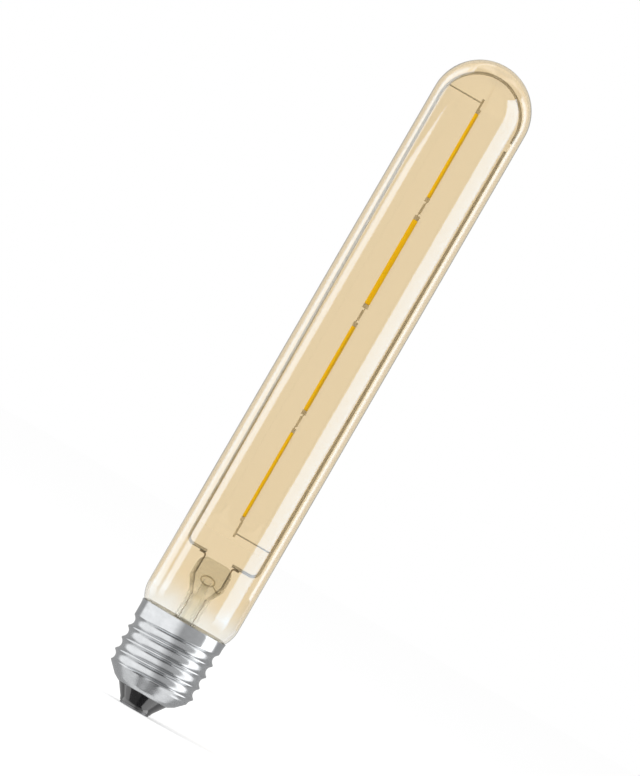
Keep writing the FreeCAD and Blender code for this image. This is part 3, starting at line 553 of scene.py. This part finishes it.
def finish_mesh(name: str, mesh: bpy.types.Mesh, finish: Finish, sharp: float = 40.0) -> bpy.types.Object:
    """Make an object from a mesh, shade it smooth and dress it.

    Args:
        name: The object's name.
        mesh: Its mesh, in metres in the row frame.
        finish: Its finish.
        sharp: Edges that turn more than this, in degrees, stay sharp.

    Returns:
        The object.
    """
    mesh.shade_smooth()
    mesh.set_sharp_from_angle(angle=radians(sharp))
    mesh.materials.append(finish.material())
    made = bpy.data.objects.new(name, mesh)
    bpy.context.scene.collection.objects.link(made)
    return made


def grid_mesh(name: str, rows: list[list[Vector]], closed: bool) -> bpy.types.Mesh:
    """Join rings of points into a skin.

    Args:
        name: The mesh's name.
        rows: Rings with one number of points, or a single point where the skin closes at the axis.
        closed: True where the last ring joins the first.

    Returns:
        The mesh, with its normals outwards.
    """
    work = bmesh.new()
    rings = [[work.verts.new(point) for point in row] for row in rows]
    pairs = list(zip(rings, rings[1:] + rings[:1])) if closed else list(zip(rings, rings[1:]))
    for low, high in pairs:
        count = max(len(low), len(high))
        if count == 1:
            continue
        for index in range(count):
            after = (index + 1) % count
            corners = [low[index % len(low)], low[after % len(low)],
                       high[after % len(high)], high[index % len(high)]]
            work.faces.new(list(dict.fromkeys(corners)))
    bmesh.ops.recalc_face_normals(work, faces=work.faces)
    mesh = bpy.data.meshes.new(name)
    work.to_mesh(mesh)
    work.free()
    return mesh


def round_point(radius: float, turn: float, height: float) -> Vector:
    """The point, in metres, at a radius and a height in millimetres and an angle in radians."""
    return Vector((radius * cos(turn), radius * sin(turn), height)) * MM


def lathe(name: str, outline: list[Point], segments: int) -> bpy.types.Mesh:
    """Turn a closed outline about the bulb's axis.

    Args:
        name: The mesh's name.
        outline: Radius and height of each point, in millimetres.
        segments: How many points each ring has.

    Returns:
        The mesh.
    """
    rows = []
    for radius, height in outline:
        turns = [2 * pi * step / segments for step in range(segments if radius > 1e-6 else 1)]
        rows.append([round_point(radius, turn, height) for turn in turns])
    return grid_mesh(name, rows, True)


def arc(centre: Point, radius: float, first: float, last: float, steps: int) -> list[Point]:
    """Points along a round of an outline.

    Args:
        centre: The round's centre.
        radius: Its radius.
        first: The angle where it starts, in degrees from outwards towards up.
        last: The angle where it ends.
        steps: How many parts it is cut into.

    Returns:
        The points, both ends among them.
    """
    angles = [radians(first + (last - first) * step / steps) for step in range(steps + 1)]
    return [(centre[0] + radius * cos(a), centre[1] + radius * sin(a)) for a in angles]


def dress(finish: Finish, *names: str) -> None:
    """Give CAD nodes their finish.

    Args:
        finish: The finish that their slots get.
        names: The nodes' names.
    """
    for name in names:
        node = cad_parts[name]
        if not node.material_slots:
            node.data.materials.append(None)
        for held in node.material_slots:
            held.material = finish.material()
        LOG.info("dressed %s in %s", name, finish.name)


def stand_in(piece: bpy.types.Object, node: str) -> None:
    """Let a detailed piece stand for a CAD node.

    Args:
        piece: The detailed piece.
        node: The node that it replaces.
    """
    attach(piece, "root")
    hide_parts(node)
    LOG.info("built %s in place of %s", piece.name, node)


# sub-assemblies


@dataclass
class Envelope:
    """The blown tube with its dome, shoulder and neck. Sizes in millimetres."""

    tube_radius: float = 14.4
    wall: float = 0.8
    neck_radius: float = 11.5
    neck_fillet: float = 2.0
    shoulder_radius: float = 10.0
    shoulder_height: float = 33.403
    seal_height: float = 21.802
    overall_length: float = 206.8
    segments: int = 288
    levels: tuple[float, ...] = (60.0, 110.0, 160.0)
    fillet_steps: int = 10
    shoulder_steps: int = 20
    dome_steps: int = 44

    def skin(self, inset: float) -> list[Point]:
        """One face of the wall, from the seal up to the tip.

        Args:
            inset: How far it lies inside the outer face.

        Returns:
            The points of its outline.
        """
        side = self.neck_radius + self.neck_fillet - self.tube_radius + self.shoulder_radius
        span = self.neck_fillet + self.shoulder_radius
        rise = sqrt(span ** 2 - side ** 2)
        meet = degrees(atan2(rise, side))
        fillet_centre = (self.neck_radius + self.neck_fillet, self.shoulder_height - rise)
        shoulder_centre = (self.tube_radius - self.shoulder_radius, self.shoulder_height)
        dome_centre = (0.0, self.overall_length - self.tube_radius)
        return (
            [(self.neck_radius - inset, self.seal_height)]
            + arc(fillet_centre, self.neck_fillet + inset, 180, 180 - meet, self.fillet_steps)
            + arc(shoulder_centre, self.shoulder_radius - inset, -meet, 0, self.shoulder_steps)[1:]
            + [(self.tube_radius - inset, level) for level in self.levels]
            + arc(dome_centre, self.tube_radius - inset, 0, 90, self.dome_steps)[:-1]
            + [(0.0, self.overall_length - inset)]
        )

    def build(self) -> None:
        """Blow the glass and film it."""
        outline = self.skin(0.0) + self.skin(self.wall)[::-1]
        mesh = lathe("envelope_glass", outline, self.segments)
        stand_in(finish_mesh("envelope_glass", mesh, GOLD_GLASS, 60), "glass_envelope")


@dataclass
class Stem:
    """The pressed stem with its exhaust tube and lead wires. Sizes in millimetres."""

    face: float = 1.74
    hole_height: float = 41.25
    hole_across: float = 2.05
    hole_up: float = 1.25
    rim: float = 0.23
    rim_steps: int = 72
    fold: float = 0.21
    fold_tip: float = 0.05
    fold_path: tuple[Point, ...] = (
        (1.85, -0.6), (2.7, -1.0), (3.5, -1.45), (4.1, -1.75), (4.4, -1.5), (4.6, -0.8))
    bead_steps: int = 10

    def bead(self, name: str, path: list[Vector], radii: list[float], closed: bool) -> None:
        """Draw a round bead of glass along the press's face.

        Args:
            name: The bead's name.
            path: The middle of the bead, in millimetres.
            radii: Its radius at each point of the path.
            closed: True where the bead is a ring.
        """
        turns = [2 * pi * step / self.bead_steps for step in range(self.bead_steps)]
        through = Vector((0, 1, 0))
        rows = []
        for index, (centre, radius) in enumerate(zip(path, radii)):
            after = path[(index + 1) % len(path)] if closed or index + 1 < len(path) else centre
            before = path[index - 1] if closed or index else centre
            aside = (after - before).normalized().cross(through)
            rows.append([
                (centre + aside * (radius * cos(turn)) + through * (radius * sin(turn))) * MM
                for turn in turns])
        if not closed:
            rows = [[path[0] * MM]] + rows + [[path[-1] * MM]]
        # The rolls' tan tint is painted shade for their dark edge line; the glass itself is clear.
        piece = finish_mesh(name, grid_mesh(name, rows, closed), BEAD_GLASS_PAINTED_SHADE)
        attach(piece, "root")
        LOG.info("drew %s", name)

    def build(self) -> None:
        """Dress the stem's glass and wires, and draw the rim of its blown hole and the fold beside it."""
        turns = [2 * pi * step / self.rim_steps for step in range(self.rim_steps)]
        ring = [Vector((self.hole_across * cos(turn), -self.face,
                        self.hole_height + self.hole_up * sin(turn))) for turn in turns]
        self.bead("blown_hole_rim", ring, [self.rim] * len(ring), True)
        folded = [Vector((across, -self.face, self.hole_height + up)) for across, up in self.fold_path]
        radii = [self.fold_tip] + [self.fold] * (len(folded) - 2) + [self.fold_tip]
        self.bead("press_fold", folded, radii, False)
        dress(STEM_GLASS, "stem_glass")
        dress(TUBE_GLASS, "exhaust_tube")
        dress(LEAD_WIRE, "lead_wire_left", "lead_wire_right")


@dataclass
class Wires:
    """The support wires and the arms that carry the string's ends."""

    def build(self) -> None:
        """Dress the wires."""
        dress(SUPPORT_WIRE, "support_wire_long", "support_wire_short", "top_arm", "bottom_arm")


@dataclass
class Filament:
    """One filament of the string: bead, strip, dies and clips. Sizes in millimetres."""

    number: int
    bottom: float
    yaw: float
    shift: float = -0.33
    length: float = 27.1
    width: float = 1.6
    depth: float = 0.95
    swell: float = 0.035
    end_round: float = 0.45
    tip_share: float = 0.62
    side_power: float = 0.55
    face_power: float = 0.7
    around: int = 28
    lengthwise: int = 90
    end_steps: int = 6

    def section(self, turn: float) -> Point:
        """A point of the bead's cross-section, a rounded rectangle of unit size."""
        across, through = cos(turn), sin(turn)
        return (copysign(abs(across) ** self.side_power, across) / 2,
                copysign(abs(through) ** self.face_power, through) / 2)

    def ring(self, along: float) -> list[Vector]:
        """One ring of the bead, a little fuller or leaner than its neighbours.

        Args:
            along: Its height above the bead's lower end.

        Returns:
            The ring's points.
        """
        near = min(1.0, min(along, self.length - along) / self.end_round)
        taper = self.tip_share + (1 - self.tip_share) * sqrt(max(0.0, 1 - (1 - near) ** 2))
        ripple = 1 - self.swell * (0.5 + 0.5 * sin(1.9 * along + 2.3 * self.number)) * (
            0.6 + 0.4 * sin(0.57 * along + self.number))
        turned = Matrix.Rotation(radians(self.yaw), 3, "Z")
        points = []
        for step in range(self.around):
            across, through = self.section(2 * pi * step / self.around)
            flat = Vector((across * self.width, through * self.depth, 0)) * taper * ripple
            points.append((turned @ flat + Vector((self.shift, 0, self.bottom + along))) * MM)
        return points

    def build(self) -> None:
        """Dispense the bead over the strip and dress the rest."""
        name = f"filament_{self.number}"
        ends = [self.end_round * (1 - cos(radians(90 / self.end_steps * step)))
                for step in range(self.end_steps + 1)]
        middle = [self.end_round + (self.length - 2 * self.end_round) * step / self.lengthwise
                  for step in range(1, self.lengthwise)]
        heights = ends + middle + [self.length - end for end in ends[::-1]]
        low, high = [[sum(self.ring(height), Vector()) / self.around] for height in (0.0, self.length)]
        rows = [low] + [self.ring(height) for height in heights] + [high]
        bead = finish_mesh(f"{name}_bead", grid_mesh(f"{name}_bead", rows, False), PHOSPHOR)
        stand_in(bead, f"{name}_coat")
        dress(CARRIER, f"{name}_strip")
        dress(DIES, f"{name}_dies")
        dress(CLIP_METAL, f"{name}_upper_clip", f"{name}_lower_clip")


@dataclass
class FilamentString:
    """The four filaments, from the dome down to the stem. Sizes in millimetres."""

    top: float = 191.4
    pitch: float = 34.2
    yaws: tuple[float, ...] = (68, 12, 60, 77)

    def build(self) -> None:
        """Build the filaments one below the other."""
        for number, yaw in enumerate(self.yaws, start=1):
            Filament(number, self.top - Filament.length - self.pitch * (number - 1), yaw).build()


@dataclass
class ScrewCap:
    """The rolled shell, its black glass and the centre contact. Sizes in millimetres."""

    crest_radius: float = 13.1
    collar_radius: float = 13.15
    thread_depth: float = 1.02
    pitch: float = 3.629
    thread_end: float = 23.15
    run_out: float = 0.25
    turns: int = 5
    wall: float = 0.3
    root_power: float = 2.3
    crest_knee: float = 0.86
    soft: float = 0.25
    foot: float = 5.0
    cone_step: float = 0.25
    cone_rings: int = 18
    cone_top: float = 9.5
    thread_step: float = 0.19
    thread_rings: int = 82
    collar: tuple[float, ...] = (25.2, 25.8, 26.6, 27.4, 27.6, 27.8, 28.0, 28.1)
    rim: tuple[Point, ...] = ((28.17, 0.04), (28.2, 0.1), (28.2, 0.2), (28.15, 0.27))
    segments: int = 240
    glass_segments: int = 160

    def blank(self, height: float) -> float:
        """The shell's outer radius before its thread is rolled.

        Args:
            height: Height above the contact's face.

        Returns:
            The radius there.
        """
        corners = [(self.foot, 7.95), (6.0, 9.6), (self.cone_top, self.crest_radius),
                   (25.0, self.collar_radius), (27.4, self.collar_radius),
                   (27.8, self.collar_radius + 0.07), (28.2, self.collar_radius + 0.2)]
        for (low, inner), (high, outer) in zip(corners, corners[1:]):
            if height <= high:
                return inner + (outer - inner) * (height - low) / (high - low)
        return corners[-1][1]

    def groove(self, height: float, turn: float) -> float:
        """How deep the thread's groove is at a place of the shell.

        Args:
            height: Height above the contact's face.
            turn: The place's share of a turn about the axis, from 0 to 1.

        Returns:
            The depth, 0 on a crest.
        """
        nearest = round((height - self.thread_end) / self.pitch - turn)
        along = turn + nearest
        if along > self.run_out or along < -self.turns:
            return 0.0
        off = (height - self.thread_end - self.pitch * along) / self.pitch
        fade = 1.0 if along <= 0 else 0.5 + 0.5 * cos(pi * along / self.run_out)
        return self.thread_depth * fade * self.scallop(min(1.0, abs(2 * off)))

    def scallop(self, share: float) -> float:
        """Shape the groove from a wide round root to a narrow crest.

        Args:
            share: The way from the root at 0 to the crest at 1.

        Returns:
            The share of the groove's full depth there.
        """
        root, knee = self.root_power, self.crest_knee
        steep = root * (1 - knee) * knee ** (root - 1) / 2
        scale = 1 / (knee ** root + steep)
        if share < knee:
            return 1 - scale * share ** root
        return scale * steep * ((1 - share) / (1 - knee)) ** 2

    def outer(self, height: float, turn: float) -> float:
        """Let the groove run softly out on the cone.

        Args:
            height: Height above the contact's face.
            turn: The place's share of a turn about the axis, from 0 to 1.

        Returns:
            The shell's outer radius there.
        """
        blank, depth = self.blank(height), self.groove(height, turn)
        if height > self.thread_end + self.pitch:
            return blank
        rolled = self.crest_radius - depth
        if depth == 0.0:
            rolled = max(rolled, blank)
        share = max(0.0, min(1.0, 0.5 + 0.5 * (rolled - blank) / self.soft))
        return rolled + (blank - rolled) * share - self.soft * share * (1 - share)

    def rows(self) -> list[Point]:
        """Place the shell's rings up the outside and down the inside.

        Returns:
            The height and the inset of each ring.
        """
        heights = [self.foot + self.cone_step * step for step in range(self.cone_rings)]
        heights += [self.cone_top + self.thread_step * step for step in range(self.thread_rings)]
        heights += self.collar
        up = [(self.foot, 0.06)] + [(height, 0.0) for height in heights[1:]]
        return up + list(self.rim) + [(height, self.wall) for height in heights[::-1]]

    def build_shell(self) -> None:
        """Roll the shell."""
        turns = [step / self.segments for step in range(self.segments)]
        rings = [[round_point(self.outer(height, turn) - inset, 2 * pi * turn, height) for turn in turns]
                 for height, inset in self.rows()]
        mesh = grid_mesh("rolled_shell", rings, True)
        stand_in(finish_mesh("rolled_shell", mesh, NICKEL_SHELL, 50), "cap_shell")

    def build_insulator(self) -> None:
        """Cast the black glass cone with its soft lower edge."""
        outline = (
            [(1.3, 0.5), (4.4, 0.5)] + arc((4.52, 0.86), 0.36, -90, -12, 8)
            + [(5.12, 1.42), (5.4, 1.81), (6.2, 2.94), (7.1, 4.21), (7.6, 4.9), (7.68, 5.02),
               (9.38, 6.2), (9.3, 6.212), (1.3, 6.212)]
        )
        cone = lathe("black_glass_cone", outline, self.glass_segments)
        stand_in(finish_mesh("black_glass_cone", cone, BLACK_GLASS, 35), "cap_insulator")

    def build(self) -> None:
        """Make the cap's pieces and dress the rest."""
        self.build_shell()
        self.build_insulator()
        dress(CONTACT_PLATE, "centre_contact")
        dress(CEMENT, "cement_ring")


@dataclass
class Driver:
    """The small board in the cap and what is soldered to it."""

    def build(self) -> None:
        """Dress the driver's parts."""
        dress(BOARD, "driver_board")
        dress(EPOXY, "bridge_rectifier", "driver_chip")
        dress(CHIP_CERAMIC, "sense_resistor")
        dress(CAN, "smoothing_capacitor")
        dress(LACQUER, "fuse_resistor")
        dress(TINNED_WIRE, "shell_lead")


# studio


class Mirror(Enum):
    """What mirrors the studio."""

    GLASS = "the near wall of the glass"
    METAL = "bare metal"
    INSIDE = "what stands inside the glass"


# Brightness of the room round the bulb: degrees from the camera's side, to the right.
AROUND: dict[Mirror, tuple[Point, ...]] = {
    Mirror.GLASS: ((-180, 0.45), (-170, 0.45), (-162, 0.5), (-151, 0.84), (-142, 0.88), (-135, 0.75),
                   (-129, 0.05), (128, 0.05), (135, 0.75), (142, 0.88), (151, 0.84), (162, 0.5),
                   (170, 0.45), (180, 0.45)),
    Mirror.METAL: ((-180, 0.40), (-127, 0.40), (-119, 1.16), (-14, 1.16), (8, 0.42), (60, 0.52),
                   (116, 0.52), (120, 0.38), (180, 0.40)),
    Mirror.INSIDE: ((-180, 0.95), (-60, 1.0), (60, 0.95), (180, 0.95)),
}
# The same from below to above.
UPWARDS: dict[Mirror, tuple[Point, ...]] = {
    Mirror.GLASS: ((-90, 0.7), (-60, 1.0), (8, 1.0), (24, 1.4), (56, 1.35), (90, 0.9)),
    Mirror.METAL: ((-90, 0.8), (-82, 0.6), (-76, 0.12), (-58, 0.12), (-46, 0.9), (-30, 1.0), (30, 1.0),
                   (46, 0.9), (56, 0.3), (72, 0.25), (80, 0.4), (90, 0.6)),
    Mirror.INSIDE: ((-90, 0.9), (-30, 1.0), (30, 1.0), (90, 1.0)),
}


@dataclass(frozen=True)
class Card:
    """A curved light card round the bulb. Angles in degrees from the camera, heights in metres."""

    name: str
    mirror: Mirror
    first: float
    last: float
    low: float
    high: float
    level: float
    colour: str = "#ffffff"
    slope: float = 0.0
    distance: float = 1.0
    fade: float = 0.0
    steps: int = 16

    def faded(self, tree: Tree) -> Socket:
        """How much of the card's light is left, falling to nothing at its lower edge."""
        return add_node(tree, "MapRange", {
            "interpolation_type": "SMOOTHSTEP", "From Min": self.low,
            "From Max": self.low + max(self.fade, MM)}, {"Value": height_of(tree)}).outputs[0]

    def glow(self) -> bpy.types.Material:
        """Let the card show in its own kind of mirror alone.

        Returns:
            The card's material.
        """
        made = bpy.data.materials.new(self.name)
        tree = empty_tree(made)
        path, shown, near = ray_path(tree)
        sharp = 1.0 if self.mirror is Mirror.GLASS else 0.0
        kind = add_node(tree, "Math", {"operation": "COMPARE", 1: sharp, 2: 0.5}, {
            0: path.outputs["Is Singular Ray"]})
        for part in (near, kind.outputs[0], self.faded(tree)):
            shown = add_node(tree, "Math", {"operation": "MULTIPLY"}, {
                0: shown, 1: part}).outputs[0]
        lamp = add_node(tree, "Emission", {
            "Color": linear(self.colour), "Strength": self.level})
        clear = add_node(tree, "BsdfTransparent")
        mixed = add_node(tree, "MixShader", links={
            0: shown, 1: clear.outputs["BSDF"], 2: lamp.outputs["Emission"]})
        add_node(tree, "OutputMaterial", links={"Surface": mixed.outputs["Shader"]})
        made.cycles.emission_sampling = "NONE"
        return made

    def build(self) -> None:
        """Stand the card up so that only glossy surfaces show it."""
        points = []
        for height, drop in ((self.low, 0.0), (self.high, self.slope)):
            for step in range(self.steps + 1):
                share = step / self.steps
                angle = radians(self.first + (self.last - self.first) * share)
                points.append(Vector((self.distance * sin(angle), -self.distance * cos(angle),
                                      height - drop * (1 - share))))
        above = self.steps + 1
        faces = [(step, step + 1, above + step + 1, above + step) for step in range(self.steps)]
        mesh = bpy.data.meshes.new(self.name)
        mesh.from_pydata(points, [], faces)
        mesh.materials.append(self.glow())
        card = bpy.data.objects.new(self.name, mesh)
        bpy.context.scene.collection.objects.link(card)
        card.visible_camera = card.visible_diffuse = False
        card.visible_shadow = card.visible_volume_scatter = False
        LOG.info("stood up %s", self.name)


@dataclass
class Studio:
    """White room with a floor, a soft overhead lamp, light cards and a dim far side."""

    ambient: float = 0.88
    floor_reach: float = 4.0
    floor_drop: float = 0.1
    floor_glow: float = 0.43
    lamp_power: float = 9.0
    lamp_size: Point = (0.9, 0.7)
    lamp_spot: tuple[float, float, float] = (-0.7, -0.8, 1.0)
    lamp_aim: tuple[float, float, float] = (0.0, 0.0, 0.1)

    def build_floor(self) -> None:
        """Lay a pale floor that reads white and keeps the bulb's shadow."""
        reach, level = self.floor_reach, -self.floor_drop * MM
        mesh = bpy.data.meshes.new("floor")
        mesh.from_pydata([(-reach, -reach, level), (reach, -reach, level), (reach, reach, level),
                          (-reach, reach, level)], [], [(0, 1, 2, 3)])
        paper = bpy.data.materials.new("matt_white_paper")
        tree = empty_tree(paper)
        matt = add_node(tree, "BsdfDiffuse", {"Color": linear("#d0d0d0")})
        strength = add_node(tree, "Math", {"operation": "MULTIPLY", 1: self.floor_glow}, {
            0: self.seen(tree)})
        glow = add_node(tree, "Emission", links={"Strength": strength.outputs[0]})
        both = add_node(tree, "AddShader", links={
            0: matt.outputs["BSDF"], 1: glow.outputs["Emission"]})
        add_node(tree, "OutputMaterial", links={"Surface": both.outputs["Shader"]})
        mesh.materials.append(paper)
        floor = bpy.data.objects.new("floor", mesh)
        bpy.context.scene.collection.objects.link(floor)
        floor.visible_glossy = False

    def plain(self, tree: Tree, path: Node) -> Socket:
        """1 for rays from the camera and through glass, 0 for the rest."""
        return add_node(tree, "Math", {"operation": "MAXIMUM"}, {
            0: path.outputs["Is Camera Ray"], 1: path.outputs["Is Transmission Ray"]}).outputs[0]

    def seen(self, tree: Tree) -> Socket:
        """1 for plain rays and those that glass or metal mirrors, 0 for the rest."""
        path = add_node(tree, "LightPath")
        return add_node(tree, "Math", {"operation": "MAXIMUM"}, {
            0: self.plain(tree, path), 1: path.outputs["Is Glossy Ray"]}).outputs[0]

    def profile(self, tree: Tree, angle: Socket, reach: float, stops: tuple[Point, ...]) -> Socket:
        """The room's brightness along one angle.

        Args:
            tree: The world's node tree.
            angle: The socket that gives the angle in radians.
            reach: The largest angle to either side, in degrees.
            stops: Angles in degrees and the brightness there.

        Returns:
            The socket with the brightness.
        """
        share = add_node(tree, "MapRange", {
            "From Min": -radians(reach), "From Max": radians(reach)}, {"Value": angle})
        ramp = add_node(tree, "ValToRGB", links={"Fac": share.outputs[0]})
        marks = ramp.color_ramp.elements
        while len(marks) < len(stops):
            marks.new(0.5)
        for mark, (turn, level) in zip(marks, stops):
            mark.color = (level, level, level, 1.0)
            mark.position = 0.5 + 0.5 * turn / reach
        return ramp.outputs["Color"]

    def room(self, tree: Tree, mirror: Mirror) -> Socket:
        """How bright a mirror sees the room in each direction.

        Args:
            tree: The world's node tree.
            mirror: What mirrors it.

        Returns:
            The socket with the brightness.
        """
        place = add_node(tree, "TexCoord")
        way = add_node(tree, "SeparateXYZ", links={0: place.outputs["Generated"]})
        front = add_node(tree, "Math", {"operation": "MULTIPLY", 1: -1.0}, {0: way.outputs["Y"]})
        bearing = add_node(tree, "Math", {"operation": "ARCTAN2"}, {
            0: way.outputs["X"], 1: front.outputs[0]})
        rise = add_node(tree, "Math", {"operation": "ARCSINE"}, {0: way.outputs["Z"]})
        across = self.profile(tree, bearing.outputs[0], 180.0, AROUND[mirror])
        along = self.profile(tree, rise.outputs[0], 90.0, UPWARDS[mirror])
        return add_node(tree, "Math", {"operation": "MULTIPLY"}, {0: across, 1: along}).outputs[0]

    def build_world(self) -> None:
        """Make the room: white to the eye and in plain view through glass, darker in mirrors."""
        world = bpy.data.worlds.new("white_room")
        bpy.context.scene.world = world
        world.cycles.sampling_method = "NONE"
        tree = empty_tree(world)
        path, mirrored, near = ray_path(tree)
        outside = add_node(tree, "Mix", links={
            0: path.outputs["Is Singular Ray"], 2: self.room(tree, Mirror.METAL),
            3: self.room(tree, Mirror.GLASS)})
        room = add_node(tree, "Mix", links={
            0: near, 2: self.room(tree, Mirror.INSIDE), 3: outside.outputs[0]})
        straight = add_node(tree, "Mix", {2: self.ambient, 3: 1.0}, {0: self.plain(tree, path)})
        shown = add_node(tree, "Mix", links={
            0: mirrored, 2: straight.outputs[0], 3: room.outputs[0]})
        light = add_node(tree, "Background", {"Color": (1, 1, 1, 1)}, {"Strength": shown.outputs[0]})
        add_node(tree, "OutputWorld", links={"Surface": light.outputs["Background"]})

    def build_lamp(self) -> None:
        """Hang a large soft lamp above and to the left of the camera, for form on matt surfaces."""
        data = bpy.data.lights.new("overhead_soft_lamp", "AREA")
        data.shape = "RECTANGLE"
        data.size, data.size_y = self.lamp_size
        data.energy = self.lamp_power
        lamp = bpy.data.objects.new("overhead_soft_lamp", data)
        spot, aim = Vector(self.lamp_spot), Vector(self.lamp_aim)
        turned = (aim - spot).to_track_quat("-Z", "Y").to_matrix().to_4x4()
        lamp.matrix_world = Matrix.Translation(spot) @ turned
        bpy.context.scene.collection.objects.link(lamp)
        lamp.visible_camera = lamp.visible_glossy = lamp.visible_transmission = False

    def build(self) -> None:
        """Set up the floor, the room, the lamp and the cards."""
        self.build_floor()
        self.build_world()
        self.build_lamp()
        for card in (
            Card("right_card", Mirror.GLASS, 58, 97, -0.42, 1.3, 5.0, "#a6d0ff", fade=0.42),
            Card("rear_right_card", Mirror.GLASS, 117.5, 131, 0.02, 1.1, 2.9, "#d2e5ff"),
            Card("left_card", Mirror.GLASS, -93, -75, -0.42, 0.226, 4.2, "#bddaff", 0.035, fade=0.42),
            Card("rear_left_card", Mirror.GLASS, -131, -103, -0.5, 1.38, 2.8, "#c8e0ff", fade=0.42),
            Card("edge_right_card", Mirror.GLASS, 140, 163, -1.2, 1.7, 0.8, "#fff5e2", distance=1.2),
            Card("edge_left_card", Mirror.GLASS, -163, -140, -1.2, 1.7, 0.8, "#fff5e2", distance=1.2),
            Card("edge_top_card", Mirror.GLASS, 163, 197, 0.44, 1.7, 0.8, "#fff5e2", distance=1.2),
            Card("rear_top_card", Mirror.GLASS, -170, -110, 1.05, 1.3, 1.3),
            Card("side_card", Mirror.METAL, 70, 111, -1.5, 1.9, 1.7),
            Card("low_right_card", Mirror.METAL, 60, 180, -3.4, -1.0, 0.95),
            Card("low_left_card", Mirror.METAL, -180, -86, -3.4, -1.0, 0.8),
        ):
            card.build()


@dataclass
class PhotoCamera:
    """A long lens that looks along +Y, with the bulb leaning to the right in the picture."""

    lean: float = 30.077
    centre: tuple[float, float, float] = (0.08, 0.0, 103.4)
    pixels_per_mm: float = 3.591
    lens: float = 600.0
    sensor: float = 36.0
    reach: float = 20.0

    def build(self) -> None:
        """Set up the camera and make it the scene's own."""
        data = bpy.data.cameras.new("photo_camera")
        data.lens = self.lens
        data.sensor_width = self.sensor
        data.clip_end = self.reach
        camera = bpy.data.objects.new("photo_camera", data)
        turn = radians(self.lean)
        right = Vector((cos(turn), 0, sin(turn)))
        up = Vector((-sin(turn), 0, cos(turn)))
        back = Vector((0, -1, 0))
        distance = PHOTO_HEIGHT / self.pixels_per_mm * MM * self.lens / self.sensor
        axes = Matrix((right, up, back)).transposed().to_4x4()
        camera.matrix_world = Matrix.Translation(Vector(self.centre) * MM + back * distance) @ axes
        bpy.context.scene.collection.objects.link(camera)
        bpy.context.scene.camera = camera


def main() -> None:
    """Build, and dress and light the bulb."""
    logging.basicConfig(level=logging.INFO, format="%(name)s: %(message)s")
    bpy.context.scene.view_settings.view_transform = "Standard"
    PhotoCamera().build()
    Envelope().build()
    Stem().build()
    Wires().build()
    FilamentString().build()
    ScrewCap().build()
    Driver().build()
    Studio().build()


if __name__ == "__main__":
    main()
